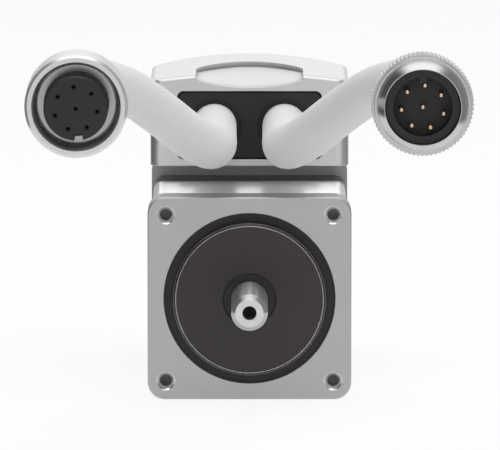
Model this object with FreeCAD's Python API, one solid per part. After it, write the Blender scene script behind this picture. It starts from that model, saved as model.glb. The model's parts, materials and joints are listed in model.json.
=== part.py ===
"""Stepper motor, 28 mm frame, with a control housing on its back and two connector leads.

Frame, in millimetres: the origin is the middle of the flange's front face, the shaft lies along Y and
points to -Y, +Z is up and the control housing stands on top of the rear end.
"""
import math
import os

import FreeCAD
import Part

V = FreeCAD.Vector

# Share of an edge's direction that has to lie along an axis for the edge to count as parallel to it
PARALLEL_SHARE = 0.99

# Front flange
FLANGE_SIDE = 28.0
FLANGE_THICK = 4.8
FLANGE_CORNER = 2.4
FLANGE_CHAMFER = 0.15
BOLT_SQUARE = 23.0
BOLT_HOLE_DIA = 2.05
BOLT_SINK_DIA = 2.5
BOLT_HOLE_DEPTH = 2.8
GROOVE_DIA = 23.6
GROOVE_DEPTH = 0.6
PILOT_DIA = 21.0
PILOT_PROUD = 1.4
PILOT_CHAMFER = 0.35
PILOT_UNDERCUT = 0.2
SEAL_DIA = 7.3
SEAL_INSET = 0.25
SEAL_LIP = 0.3
SEAT_SHOULDER = 1.0
SEAT_LIP = 0.2
SEAT_WALL = 2.5

# Shaft and bearings
SHAFT_DIA = 5.0
SHAFT_PROUD = 15.0
SHAFT_CHAMFER = 0.6
SHAFT_TAIL = 4.0
CENTRE_HOLE_DIA = 1.9
CENTRE_HOLE_DEPTH = 5.0
CENTRE_HOLE_TIP = 0.6
RELIEF_DIA = 4.6
JOURNAL_DIA = 6.0
JOURNAL_GAP = 0.1
BEARING_DIA = 12.0
BEARING_WIDTH = 4.0
BALL_DIA = 1.5
BALL_COUNT = 6
RACE_STEP = 0.5
CAGE_WALL = 0.6
CAGE_WIDTH = 2.2
RUN_CLEARANCE = 0.04
SHOULDER_CLEARANCE = 1.4

# Rotor and stator
CORE_LENGTH = 15.0
CORE_DIA = 24.6
CORE_YOKE = 1.7
POLE_COUNT = 8
POLE_WIDTH = 3.2
POLE_SHOE = 1.2
POLE_SHOE_SHARE = 0.82
POLE_TEETH = 5
ROTOR_DIA = 15.0
ROTOR_TEETH = 50
TOOTH_DEPTH = 0.4
TOOTH_SHARE = 0.5
AIR_GAP = 0.2
MAGNET_THICK = 1.4
MAGNET_STEP = 1.0
INSULATOR_THICK = 0.8
INSULATOR_STEP = 0.5
COIL_SIDE = 1.3
COIL_ROUND = 1.0
COIL_GAP = 0.1
COIL_END_GAP = 0.3
SPACER_WALL = 1.0

# Body behind the flange and the lower rear end
CASE_SIDE = 26.8
CASE_CORNER = 1.5
CASE_END_GAP = 5.1
BELL_LENGTH = 6.1
TIE_SCREW_DIA = 1.6
TIE_SCREW_HOLE = 1.8
TIE_SCREW_GRIP = 1.4
TIE_INSET = 2.1
SCREW_HEAD_DIA = 3.0
SCREW_HEAD_HEIGHT = 1.6
SCREW_HEX = 1.5
SCREW_HEX_DEPTH = 1.0
HEAD_CLEARANCE = 0.2
REAR_CORNER = 1.6
REAR_CAP_THICK = 7.6
REAR_SEAT_INSET = 0.4
SPRING_THICK = 0.6
GASKET_THICK = 0.5
COVER_DEPTH = 12.5
COVER_WALL = 1.5
COVER_EDGE = 0.8
COVER_BOSS_DIA = 4.0
COVER_SCREW_GRIP = 4.5
COVER_HEAD_DIA = 3.2
COVER_HEAD_HEIGHT = 1.2

# Encoder on the tail of the shaft
HUB_DIA = 8.0
HUB_GAP = 0.4
ENCODER_MAGNET_DIA = 6.0
ENCODER_MAGNET_THICK = 2.2
ENCODER_GAP = 1.2
ENCODER_BOARD_DIA = 18.0
BOARD_THICK = 1.0
POST_DIA = 3.0
POST_CIRCLE = 14.0
POST_COUNT = 4
POST_SCREW_DIA = 1.4
POST_SCREW_GRIP = 3.0
POST_HEAD_DIA = 2.8
POST_HEAD_HEIGHT = 1.0

# Control housing on top
BASE_TOP = 15.6
HOUSING_SIDE = 27.7
HOUSING_STEP = 0.1
HOUSING_OVERHANG = 7.4
HOUSING_SHOULDER = 27.5
CROWN_RISE = 1.05
CROWN_REAR_RISE = 1.85
HOUSING_CORNER = 1.8
HOUSING_TOP_EDGE = 0.4
HOUSING_FLOOR = 1.6
FRONT_WALL = 1.6
SIDE_WALL = 1.6
COVER_LIP = 0.5
COVER_SKIN = 1.2
SCOOP_HALF = 7.5
SCOOP_SIDE_LENGTH = 10.0
SCOOP_LENGTH = 16.0
SCOOP_STEP = 0.65
SCOOP_FRONT_DROP = 2.05
SCOOP_END_DROP = 0.35
WIRE_SLOT_LENGTH = 9.0
WIRE_SLOT_WIDTH = 3.0
CONTROL_BOARD_GAP = 0.6
CONTROL_BOARD_RISE = 2.0
CONTROL_BOARD_FRONT = 6.0
HOUSING_SCREW_SPAN = 11.5
HOUSING_SCREW_GRIP = 3.0
CHIP_SIDE = 6.0
CHIP_HEIGHT = 1.0
CAPACITOR_DIA = 4.0
COMPONENT_HEADROOM = 2.8
PLUG_SOCKET_WIDTH = 9.0
PLUG_SOCKET_DEPTH = 2.0
PLUG_SOCKET_INSET = 1.0

# Black panel and cable exits
PANEL_WIDTH = 20.2
PANEL_FOOT = 0.9
PANEL_HEAD = 1.4
PANEL_CORNER = 0.9
PANEL_THICK = 1.0
PANEL_INSET = 0.35
PANEL_GAP = 0.2
PANEL_SEAT = 0.7
GLAND_DIA = 7.6
GLAND_FLANGE_DIA = 8.0
GLAND_FLANGE_THICK = 1.0
GLAND_TAIL = 1.0

# Cables: route of the right one from inside the panel to the back of its connector; the left one mirrors it
CABLE_DIA = 6.2
CABLE_ARC_SHARE = 0.45
CABLE_ROUTE = (
    V(4.9, 27.0, 21.2),
    V(4.9, 12.0, 21.2),
    V(4.75, -1.0, 20.7),
    V(7.8, -9.5, 23.2),
    V(12.1, -15.0, 27.4),
    V(17.2, -20.0, 31.6),
    V(22.55, -28.0, 33.4),
    V(22.55, -36.0, 33.4),
)

# Connectors
CABLE_SEAT = 3.0
GRIP_TAIL_DIA = 8.0
GRIP_DIA = 11.8
GRIP_TAPER = 19.0
GRIP_LENGTH = 17.4
NECK_DIA = 10.3
NECK_CLEARANCE = 0.1
NUT_LIP = 2.4
COLLAR_DIA = 11.1
COLLAR_THICK = 1.0
COLLAR_GAP = 0.15
NUT_DIA = 13.44
NUT_LENGTH = 8.1
NUT_BORE = 11.6
NUT_FACE = 0.6
NUT_SLOPE = 0.32
NUT_HEEL = 0.4
SLEEVE_DIA = 10.3
SLEEVE_BACK = 2.7
SOCKET_FACE_DIA = 8.4
SOCKET_FACE_PROUD = 2.1
SOCKET_FACE_EDGE = 0.15
KEY_WIDTH = 1.1
KEY_DEPTH = 0.8
CONTACT_CIRCLE = 5.65
CONTACT_RING = 7
CONTACT_TURN = 5.25
SOCKET_DIA = 0.9
SOCKET_BORE = 0.5
SOCKET_MOUTH_DIA = 0.7
SOCKET_BACK = 2.5
RING_DIA = 13.4
RING_LENGTH = 9.1
RING_RIDGE_DIA = 12.6
RING_NOSE_DIA = 11.9
RING_MOUTH_DIA = 10.1
RING_BORE = 9.9
NOSE_LENGTH = 2.3
NOSE_BULGE = 0.15
KNURL_COUNT = 72
KNURL_DEPTH = 0.2
KNURL_LENGTH = 4.0
KNURL_BACK = 2.2
PIN_CARRIER_DIA = 9.7
PIN_CARRIER_WALL = 1.0
PIN_CARRIER_BACK = 1.0
PIN_FLOOR_BACK = 3.5
PIN_DIA = 0.65
PIN_BACK = 0.6

# Places along the shaft, worked out from the sizes above
Y_PILOT = -PILOT_PROUD
Y_FRONT_BEARING = GROOVE_DEPTH + SEAT_SHOULDER
Y_BOSS_END = Y_FRONT_BEARING + BEARING_WIDTH + SEAT_LIP
Y_COIL_FRONT = Y_BOSS_END + COIL_END_GAP
Y_CORE = Y_COIL_FRONT + COIL_SIDE + INSULATOR_THICK
Y_CORE_END = Y_CORE + CORE_LENGTH
Y_COIL_REAR = Y_CORE_END + INSULATOR_THICK + COIL_SIDE
Y_CASE_END = Y_COIL_REAR + CASE_END_GAP
Y_BELL = Y_CASE_END - BELL_LENGTH
Y_REAR_BEARING = Y_CASE_END + REAR_SEAT_INSET
Y_SPRING = Y_REAR_BEARING + BEARING_WIDTH
Y_CAP_END = Y_CASE_END + REAR_CAP_THICK
Y_COVER = Y_CAP_END + GASKET_THICK
Y_COVER_END = Y_COVER + COVER_DEPTH
Y_SHAFT_END = Y_CAP_END + SHAFT_TAIL
Y_HUB = Y_CAP_END + HUB_GAP
Y_ENCODER_BOARD = Y_SHAFT_END + ENCODER_MAGNET_THICK + ENCODER_GAP
Y_HOUSING = Y_CASE_END - HOUSING_OVERHANG
Y_HOUSING_END = Y_COVER_END - COVER_EDGE
Y_PANEL = Y_HOUSING + PANEL_INSET
PITCH_RADIUS = (BEARING_DIA + JOURNAL_DIA) / 4
REAR_SIDE = HOUSING_SIDE - 2 * HOUSING_STEP
CORNERS = [(-1, -1), (-1, 1), (1, -1), (1, 1)]
BOLT_PLACES = [(BOLT_SQUARE / 2 * sx, BOLT_SQUARE / 2 * sz) for sx, sz in CORNERS]
TIE_REACH = min(CASE_SIDE, REAR_SIDE) / 2 - TIE_INSET
TIE_PLACES = [(TIE_REACH * sx, TIE_REACH * sz) for sx, sz in CORNERS]
PANEL_BOTTOM = BASE_TOP + PANEL_FOOT
PANEL_TOP = HOUSING_SHOULDER - PANEL_HEAD
COMPONENT_TOP = HOUSING_SHOULDER - COMPONENT_HEADROOM
FLOOR_TOP = BASE_TOP + HOUSING_FLOOR
CROWN_TOP = HOUSING_SHOULDER + CROWN_RISE
REAR_SHOULDER = CROWN_TOP - CROWN_REAR_RISE
ABOVE_ALL = 2 * CROWN_TOP
HOUSING_SCREW_PLACES = (-HOUSING_SCREW_SPAN / 2, HOUSING_SCREW_SPAN / 2)
HOUSING_SCREW_Y = Y_CASE_END + REAR_CAP_THICK / 2
X_PLUG = CABLE_ROUTE[-1].x
Z_PLUG = CABLE_ROUTE[-1].z
Y_PLUG_BACK = CABLE_ROUTE[-1].y
Y_NECK = Y_PLUG_BACK - GRIP_LENGTH
Y_NUT_FRONT = Y_NECK - NUT_LENGTH
Y_RING_FRONT = Y_NECK - RING_LENGTH
Y_COLLAR = Y_NECK - NUT_LIP - COLLAR_GAP
Y_CARRIER = Y_COLLAR - COLLAR_THICK


def rod(dia, y0, y1, x=0.0, z=0.0):
    """Round bar along Y."""
    return Part.makeCylinder(dia / 2, y1 - y0, V(x, y0, z), V(0, 1, 0))


def tube(dia, bore, y0, y1, x=0.0, z=0.0):
    """Round tube along Y."""
    return rod(dia, y0, y1, x, z).cut(rod(bore, y0, y1, x, z))


def box(x0, x1, y0, y1, z0, z1):
    """Box between two corners."""
    return Part.makeBox(x1 - x0, y1 - y0, z1 - z0, V(x0, y0, z0))


def rounded_plate(x0, x1, z0, z1, corner, y0, y1):
    """Plate along Y with four rounded long edges."""
    plate = box(x0, x1, y0, y1, z0, z1)
    edges = [e for e in plate.Edges if abs(e.tangentAt(e.FirstParameter).y) > PARALLEL_SHARE]
    return plate.makeFillet(corner, edges)


def square_plate(side, corner, y0, y1):
    """Square plate centred on the shaft."""
    return rounded_plate(-side / 2, side / 2, -side / 2, side / 2, corner, y0, y1)


def turned(outline, x=0.0, z=0.0):
    """Solid turned about an axis along Y from an outline of (y, radius) points."""
    points = [V(r, y, 0) for y, r in outline]
    face = Part.Face(Part.makePolygon(points + points[:1]))
    solid = face.revolve(V(0, 0, 0), V(0, 1, 0), 360)
    solid.translate(V(x, 0, z))
    return solid


def around(shape, angle):
    """Copy of a shape turned about the shaft, angle in degrees."""
    copy = shape.copy()
    copy.rotate(V(0, 0, 0), V(0, 1, 0), angle)
    return copy


def mirrored(shape):
    """Copy of a shape on the other side of the YZ plane."""
    return shape.mirror(V(0, 0, 0), V(1, 0, 0))


def cap_screw(y_head, y_tip, dia, x, z, head=SCREW_HEAD_DIA, height=SCREW_HEAD_HEIGHT):
    """Socket head screw along Y whose head sits behind y_head and whose tip is at y_tip."""
    screw = rod(dia, y_tip, y_head, x, z).fuse(rod(head, y_head, y_head + height, x, z))
    corners = [V(SCREW_HEX / 2 * math.cos(math.radians(a)), 0, SCREW_HEX / 2 * math.sin(math.radians(a)))
               for a in range(0, 361, 60)]
    socket = Part.Face(Part.makePolygon(corners)).extrude(V(0, SCREW_HEX_DEPTH, 0))
    socket.translate(V(x, y_head + height - SCREW_HEX_DEPTH, z))
    return screw.cut(socket).removeSplitter()


def group(solids):
    """Several separate solids in one node."""
    return Part.makeCompound(solids)


def front_flange():
    """Machined front end: bolt square, ring groove and the front bearing's seat."""
    body = square_plate(FLANGE_SIDE, FLANGE_CORNER, 0.0, FLANGE_THICK)
    front = [e for e in body.Edges if e.BoundBox.YMax < FLANGE_CHAMFER]
    body = body.makeChamfer(FLANGE_CHAMFER, front)
    body = body.fuse(rod(BEARING_DIA + 2 * SEAT_WALL, FLANGE_THICK, Y_BOSS_END))
    body = body.cut(rod(GROOVE_DIA, 0.0, GROOVE_DEPTH))
    body = body.cut(rod(BEARING_DIA, Y_FRONT_BEARING, Y_BOSS_END))
    body = body.cut(rod(JOURNAL_DIA + 2 * SHOULDER_CLEARANCE, GROOVE_DEPTH, Y_FRONT_BEARING))
    sink = (BOLT_SINK_DIA - BOLT_HOLE_DIA) / 2
    for x, z in BOLT_PLACES:
        body = body.cut(rod(BOLT_HOLE_DIA, 0.0, BOLT_HOLE_DEPTH, x, z))
        cone = Part.makeCone(BOLT_SINK_DIA / 2, BOLT_HOLE_DIA / 2, sink, V(x, 0, z), V(0, 1, 0))
        body = body.cut(cone)
    for x, z in TIE_PLACES:
        body = body.cut(rod(TIE_SCREW_DIA, FLANGE_THICK - TIE_SCREW_GRIP, FLANGE_THICK, x, z))
    return body.removeSplitter()


def pilot_disc():
    """Raised centring disc that stands in the ring groove, undercut below the flange's face."""
    radius = PILOT_DIA / 2
    root = radius - PILOT_UNDERCUT
    bore = SEAL_DIA / 2
    return turned([(Y_PILOT, bore), (Y_PILOT, radius - PILOT_CHAMFER), (Y_PILOT + PILOT_CHAMFER, radius),
                   (0.0, radius), (0.0, root), (GROOVE_DEPTH, root), (GROOVE_DEPTH, bore)])


def shaft_seal():
    """Ring in the disc's bore that runs on the journal, with a lip in front of the journal's shoulder."""
    lip = SHAFT_DIA / 2 + RUN_CLEARANCE
    bore = JOURNAL_DIA / 2 + RUN_CLEARANCE
    outer = SEAL_DIA / 2
    front = Y_PILOT + SEAL_INSET
    return turned([(front, lip), (front, outer), (GROOVE_DEPTH, outer), (GROOVE_DEPTH, bore),
                   (front + SEAL_LIP, bore), (front + SEAL_LIP, lip)])


def shaft():
    """Ground shaft with a chamfered tip, a centre hole, a relief groove and thicker journals behind it."""
    radius = SHAFT_DIA / 2
    relief = RELIEF_DIA / 2
    hole = CENTRE_HOLE_DIA / 2
    tip = -SHAFT_PROUD
    floor = tip + CENTRE_HOLE_DEPTH
    journal = JOURNAL_DIA / 2
    y_journal = Y_PILOT + SEAL_INSET + SEAL_LIP + JOURNAL_GAP
    return turned([(tip, hole), (tip, radius - SHAFT_CHAMFER), (tip + SHAFT_CHAMFER, radius),
                   (Y_PILOT, radius), (Y_PILOT, relief), (y_journal, relief), (y_journal, journal),
                   (Y_SHAFT_END - SHAFT_CHAMFER, journal), (Y_SHAFT_END, journal - SHAFT_CHAMFER),
                   (Y_SHAFT_END, 0.0), (floor + CENTRE_HOLE_TIP, 0.0), (floor, hole)])


def bearing(y0):
    """Outer ring, inner ring, balls and cage of a deep groove ball bearing whose front face is at y0."""
    middle = y0 + BEARING_WIDTH / 2
    groove = Part.makeTorus(PITCH_RADIUS, BALL_DIA / 2 + RUN_CLEARANCE, V(0, middle, 0), V(0, 1, 0))
    outer = tube(BEARING_DIA, 2 * (PITCH_RADIUS + RACE_STEP), y0, y0 + BEARING_WIDTH).cut(groove)
    inner = tube(2 * (PITCH_RADIUS - RACE_STEP), JOURNAL_DIA, y0, y0 + BEARING_WIDTH).cut(groove)
    ball = Part.makeSphere(BALL_DIA / 2, V(PITCH_RADIUS, middle, 0))
    pocket = Part.makeCylinder(BALL_DIA / 2 + RUN_CLEARANCE, BEARING_DIA, V(0, middle, 0), V(1, 0, 0))
    balls = group([around(ball, 360 * i / BALL_COUNT) for i in range(BALL_COUNT)])
    cage = tube(2 * PITCH_RADIUS + CAGE_WALL, 2 * PITCH_RADIUS - CAGE_WALL,
                middle - CAGE_WIDTH / 2, middle + CAGE_WIDTH / 2)
    for i in range(BALL_COUNT):
        cage = cage.cut(around(pocket, 360 * i / BALL_COUNT))
    return outer, inner, balls, cage


def toothed_disc(dia, count, y0, y1, offset):
    """Rotor stack with straight teeth, its first tooth turned by offset in degrees."""
    outer = dia / 2
    root = outer - TOOTH_DEPTH
    pitch = 360 / count
    half = pitch * TOOTH_SHARE / 2
    points = []
    for i in range(count):
        for radius, angle in ((root, -half), (outer, -half), (outer, half), (root, half)):
            turn = math.radians(offset + i * pitch + angle)
            points.append(V(radius * math.cos(turn), y0, radius * math.sin(turn)))
    stack = Part.Face(Part.makePolygon(points + points[:1])).extrude(V(0, y1 - y0, 0))
    return stack.cut(rod(JOURNAL_DIA, y0, y1))


def pole_profile(bore, y):
    """Flat face of the stator lamination: a yoke with inward poles that end in shoes."""
    yoke_inner = CORE_DIA / 2 - CORE_YOKE
    shoe_outer = bore / 2 + TOOTH_DEPTH + POLE_SHOE
    half_shoe = 180 / POLE_COUNT * POLE_SHOE_SHARE
    half_slot = 180 / POLE_COUNT
    past_bore = bore / 2 - TOOTH_DEPTH
    lamination = Part.Face(Part.Wire(Part.makeCircle(CORE_DIA / 2, V(0, y, 0), V(0, 1, 0))))
    lamination = lamination.cut(Part.Face(Part.Wire(Part.makeCircle(bore / 2, V(0, y, 0), V(0, 1, 0)))))

    def at(radius, angle):
        turn = math.radians(angle)
        return V(radius * math.cos(turn), y, radius * math.sin(turn))

    slots = []
    for i in range(POLE_COUNT):
        middle = (i + 0.5) * 360 / POLE_COUNT
        outer_half = half_slot - math.degrees(math.asin(POLE_WIDTH / 2 / yoke_inner))
        inner_half = half_slot - math.degrees(math.asin(POLE_WIDTH / 2 / shoe_outer))
        mouth = half_slot - half_shoe
        far_side = [at(yoke_inner, middle + outer_half), at(shoe_outer, middle + inner_half),
                    at(shoe_outer, middle + mouth), at(past_bore, middle + mouth)]
        near_side = [at(past_bore, middle - mouth), at(shoe_outer, middle - mouth),
                     at(shoe_outer, middle - inner_half), at(yoke_inner, middle - outer_half)]
        back = Part.Arc(near_side[-1], at(yoke_inner, middle), far_side[0]).toShape()
        sides = Part.makePolygon(far_side + near_side).Edges
        slots.append(Part.Face(Part.Wire([back] + sides)))
    return lamination.cut(slots)


def stator_core():
    """Laminated stator with toothed poles round the rotor."""
    bore = ROTOR_DIA + 2 * AIR_GAP
    profile = pole_profile(bore, Y_CORE)
    pitch = 360 / ROTOR_TEETH
    gap = pitch * (1 - TOOTH_SHARE) / 2
    notches = []
    for pole in range(POLE_COUNT):
        for i in range(POLE_TEETH - 1):
            middle = pole * 360 / POLE_COUNT + (i - (POLE_TEETH - 2) / 2) * pitch
            corners = []
            for radius, side in ((bore / 2 - TOOTH_DEPTH, -gap), (bore / 2 - TOOTH_DEPTH, gap),
                                 (bore / 2 + TOOTH_DEPTH, gap), (bore / 2 + TOOTH_DEPTH, -gap)):
                turn = math.radians(middle + side)
                corners.append(V(radius * math.cos(turn), Y_CORE, radius * math.sin(turn)))
            notches.append(Part.Face(Part.makePolygon(corners + corners[:1])))
    return profile.cut(notches).extrude(V(0, CORE_LENGTH, 0)).Solids[0]


def insulator(y0):
    """Moulded end plate that keeps the coils off the core."""
    profile = pole_profile(ROTOR_DIA + 2 * AIR_GAP + 2 * INSULATOR_STEP, y0)
    return profile.extrude(V(0, INSULATOR_THICK, 0)).Solids[0]


def stator_coils():
    """One coil round each pole."""
    shoe_outer = ROTOR_DIA / 2 + AIR_GAP + TOOTH_DEPTH + POLE_SHOE + INSULATOR_STEP
    yoke_inner = CORE_DIA / 2 - CORE_YOKE
    half = POLE_WIDTH / 2 + COIL_GAP
    reach = math.sqrt(yoke_inner ** 2 - (half + COIL_SIDE) ** 2) - COIL_GAP
    y0 = Y_CORE - INSULATOR_THICK
    y1 = Y_CORE_END + INSULATOR_THICK
    outside = box(shoe_outer + COIL_GAP, reach, y0 - COIL_SIDE, y1 + COIL_SIDE,
                  -half - COIL_SIDE, half + COIL_SIDE)
    edges = [e for e in outside.Edges if abs(e.tangentAt(e.FirstParameter).x) > PARALLEL_SHARE]
    outside = outside.makeFillet(COIL_ROUND, edges)
    coil = outside.cut(box(0.0, CORE_DIA, y0, y1, -half, half))
    return group([around(coil, 360 * i / POLE_COUNT) for i in range(POLE_COUNT)])


def body_ring(y0, y1):
    """Square ring of the motor's body, with a round bore and four screw holes."""
    ring = square_plate(CASE_SIDE, CASE_CORNER, y0, y1)
    ring = ring.cut(rod(CORE_DIA, y0, y1))
    for x, z in TIE_PLACES:
        ring = ring.cut(rod(TIE_SCREW_HOLE, y0, y1, x, z))
    return ring


def rear_block(y0, y1, inset=0.0):
    """Outline of the lower rear end, from the bottom to the control housing's floor."""
    half = REAR_SIDE / 2 - inset
    return rounded_plate(-half, half, -half, BASE_TOP - inset, REAR_CORNER, y0, y1)


def cover_screw_places():
    """Middles of the four screws that hold the rear cover."""
    side = REAR_SIDE / 2 - COVER_BOSS_DIA / 2
    return [(-side, 0.0), (side, 0.0), (0.0, -side), (0.0, BASE_TOP - COVER_BOSS_DIA / 2)]


def rear_end_cap():
    """Cast end cap with the rear bearing's seat and the tie screws' counterbores."""
    cap = rear_block(Y_CASE_END, Y_CAP_END)
    cap = cap.cut(rod(BEARING_DIA, Y_CASE_END, Y_SPRING + SPRING_THICK))
    cap = cap.cut(rod(JOURNAL_DIA + 2 * SHOULDER_CLEARANCE, Y_CASE_END, Y_CAP_END))
    y_head = Y_CAP_END - SCREW_HEAD_HEIGHT - HEAD_CLEARANCE
    for x, z in TIE_PLACES:
        cap = cap.cut(rod(TIE_SCREW_HOLE, Y_CASE_END, Y_CAP_END, x, z))
        cap = cap.cut(rod(SCREW_HEAD_DIA + 2 * HEAD_CLEARANCE, y_head, Y_CAP_END, x, z))
    for x, z in cover_screw_places():
        cap = cap.cut(rod(TIE_SCREW_DIA, Y_CAP_END - COVER_SCREW_GRIP, Y_CAP_END, x, z))
    for x in HOUSING_SCREW_PLACES:
        mouth = V(x, HOUSING_SCREW_Y, BASE_TOP)
        cap = cap.cut(Part.makeCylinder(TIE_SCREW_DIA / 2, HOUSING_SCREW_GRIP, mouth, V(0, 0, -1)))
    return cap


def tie_screws():
    """Four long screws that clamp flange, body and end cap together."""
    y_head = Y_CAP_END - SCREW_HEAD_HEIGHT - HEAD_CLEARANCE
    y_tip = FLANGE_THICK - TIE_SCREW_GRIP
    return group([cap_screw(y_head, y_tip, TIE_SCREW_DIA, x, z) for x, z in TIE_PLACES])


def cover_gasket():
    """Flat rubber frame between end cap and rear cover."""
    frame = rear_block(Y_CAP_END, Y_COVER).cut(rear_block(Y_CAP_END, Y_COVER, COVER_WALL))
    for x, z in cover_screw_places():
        frame = frame.cut(rod(TIE_SCREW_HOLE, Y_CAP_END, Y_COVER, x, z))
    return frame


def rear_cover():
    """Deep rear cap over the encoder, with four screw bosses inside."""
    cover = rear_block(Y_COVER, Y_COVER_END)
    rim = [e for e in cover.Edges if e.BoundBox.YMin > Y_COVER_END - COVER_EDGE]
    cover = cover.makeFillet(COVER_EDGE, rim)
    cover = cover.cut(rear_block(Y_COVER, Y_COVER_END - COVER_WALL, COVER_WALL))
    outline = rear_block(Y_COVER, Y_COVER_END - COVER_WALL)
    for x, z in cover_screw_places():
        cover = cover.fuse(rod(COVER_BOSS_DIA, Y_COVER, Y_COVER_END - COVER_WALL, x, z).common(outline))
    for x, z in cover_screw_places():
        cover = cover.cut(rod(TIE_SCREW_HOLE, Y_COVER, Y_COVER_END, x, z))
        cover = cover.cut(rod(COVER_HEAD_DIA, Y_COVER_END - COVER_HEAD_HEIGHT, Y_COVER_END, x, z))
    return cover.cut(wire_slot(BASE_TOP - COVER_WALL, BASE_TOP)).removeSplitter()


def cover_screws():
    """Four screws in the back of the rear cover."""
    y_tip = Y_CAP_END - COVER_SCREW_GRIP
    y_head = Y_COVER_END - COVER_HEAD_HEIGHT
    return group([cap_screw(y_head, y_tip, TIE_SCREW_DIA, x, z, COVER_HEAD_DIA, COVER_HEAD_HEIGHT)
                  for x, z in cover_screw_places()])


def wire_slot(z0, z1):
    """Opening through which the encoder's wires reach the control board."""
    middle = (Y_ENCODER_BOARD + Y_COVER_END - COVER_WALL) / 2
    half = WIRE_SLOT_WIDTH / 2
    x0 = COVER_BOSS_DIA / 2 + SIDE_WALL
    return box(x0, x0 + WIRE_SLOT_LENGTH / 2, middle - half, middle + half, z0, z1)


def encoder_hub():
    """Collar on the shaft's tail that carries the encoder magnet."""
    end = Y_SHAFT_END + ENCODER_MAGNET_THICK
    hub = rod(HUB_DIA, Y_HUB, end).cut(rod(JOURNAL_DIA, Y_HUB, Y_SHAFT_END))
    return hub.cut(rod(ENCODER_MAGNET_DIA, Y_SHAFT_END, end))


def post_places():
    """Middles of the posts under the encoder board."""
    turns = [2 * math.pi * (i + 0.5) / POST_COUNT for i in range(POST_COUNT)]
    return [(POST_CIRCLE / 2 * math.cos(t), POST_CIRCLE / 2 * math.sin(t)) for t in turns]


def encoder_posts():
    """Four posts on the end cap that carry the encoder board."""
    return group([tube(POST_DIA, POST_SCREW_DIA, Y_CAP_END, Y_ENCODER_BOARD, x, z)
                  for x, z in post_places()])


def encoder_board():
    """Round circuit board behind the encoder magnet."""
    board = rod(ENCODER_BOARD_DIA, Y_ENCODER_BOARD, Y_ENCODER_BOARD + BOARD_THICK)
    for x, z in post_places():
        board = board.cut(rod(POST_SCREW_DIA, Y_ENCODER_BOARD, Y_ENCODER_BOARD + BOARD_THICK, x, z))
    return board


def encoder_screws():
    """Screws that hold the encoder board on its posts."""
    y_head = Y_ENCODER_BOARD + BOARD_THICK
    y_tip = Y_ENCODER_BOARD - POST_SCREW_GRIP
    screws = []
    for x, z in post_places():
        head = rod(POST_HEAD_DIA, y_head, y_head + POST_HEAD_HEIGHT, x, z)
        screws.append(rod(POST_SCREW_DIA, y_tip, y_head, x, z).fuse(head).removeSplitter())
    return group(screws)


def crown_arc(half, drop, y, rise=CROWN_RISE):
    """Arc across the crowned top at depth y, lowered by drop."""
    side = CROWN_TOP - rise * (half / (HOUSING_SIDE / 2)) ** 2 - drop
    return Part.Arc(V(-half, y, side), V(0, y, CROWN_TOP - drop), V(half, y, side)).toShape()


def closed_above(arc, height):
    """Wire made of an arc across X and three straight sides up to a height."""
    start = arc.Vertexes[0].Point
    end = arc.Vertexes[-1].Point
    left = V(start.x, start.y, height)
    right = V(end.x, end.y, height)
    return Part.Wire([arc] + Part.makePolygon([end, right, left, start]).Edges)


def scoop():
    """Thumb scoop in the front of the top: a dished floor inside a U-shaped outline."""
    y_front = Y_HOUSING - SCOOP_STEP
    y_side = Y_HOUSING + SCOOP_SIDE_LENGTH
    y_back = Y_HOUSING + SCOOP_LENGTH + SCOOP_STEP
    reach = SCOOP_HALF + SCOOP_STEP
    ends = HOUSING_SHOULDER + CROWN_RISE * (1 - (SCOOP_HALF / (HOUSING_SIDE / 2)) ** 2) - SCOOP_END_DROP
    front = Part.Arc(V(-reach, y_front, ends), V(0, y_front, CROWN_TOP - SCOOP_FRONT_DROP),
                     V(reach, y_front, ends)).toShape()
    back = crown_arc(reach, SCOOP_STEP, y_back)
    dish = Part.makeLoft([closed_above(front, ABOVE_ALL), closed_above(back, ABOVE_ALL)], True, True)
    bend = Part.Arc(V(SCOOP_HALF, y_side, 0), V(0, Y_HOUSING + SCOOP_LENGTH, 0), V(-SCOOP_HALF, y_side, 0))
    outline = Part.Wire([Part.makeLine(V(-SCOOP_HALF, y_side, 0), V(-SCOOP_HALF, y_front, 0)),
                         Part.makeLine(V(-SCOOP_HALF, y_front, 0), V(SCOOP_HALF, y_front, 0)),
                         Part.makeLine(V(SCOOP_HALF, y_front, 0), V(SCOOP_HALF, y_side, 0)),
                         bend.toShape()])
    return Part.Face(outline).extrude(V(0, 0, ABOVE_ALL)).common(dish)


def housing_envelope():
    """Outer form of control housing and top cover together; its crown grows towards the rear."""
    half = HOUSING_SIDE / 2
    front = closed_above(crown_arc(half, 0.0, Y_HOUSING), BASE_TOP)
    rear = closed_above(crown_arc(half, 0.0, Y_HOUSING_END, CROWN_REAR_RISE), BASE_TOP)
    body = Part.makeLoft([front, rear], True, True)
    upright = [e for e in body.Edges if abs(e.tangentAt(e.FirstParameter).z) > PARALLEL_SHARE]
    body = body.makeFillet(HOUSING_CORNER, upright)
    top = [e for e in body.Edges if e.BoundBox.ZMin > REAR_SHOULDER - HOUSING_TOP_EDGE]
    body = body.makeFillet(HOUSING_TOP_EDGE, top)
    return body.cut(scoop())


def cover_plan():
    """Upright block inside which everything on top belongs to the top cover."""
    half = HOUSING_SIDE / 2 - COVER_LIP
    block = box(-half, half, Y_HOUSING + FRONT_WALL, Y_HOUSING_END - COVER_LIP, FLOOR_TOP, ABOVE_ALL)
    upright = [e for e in block.Edges if abs(e.tangentAt(e.FirstParameter).z) > PARALLEL_SHARE]
    return block.makeFillet(HOUSING_CORNER - COVER_LIP, upright)


def top_cover(envelope):
    """Crowned top cover, inset between the housing's walls."""
    under = envelope.translated(V(0, 0, -COVER_SKIN))
    return envelope.common(cover_plan()).cut(under)


def panel_plate(y0, y1, inset):
    """Plate with the front panel's outline."""
    half = PANEL_WIDTH / 2 - inset
    return rounded_plate(-half, half, PANEL_BOTTOM + inset, PANEL_TOP - inset, PANEL_CORNER, y0, y1)


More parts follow.
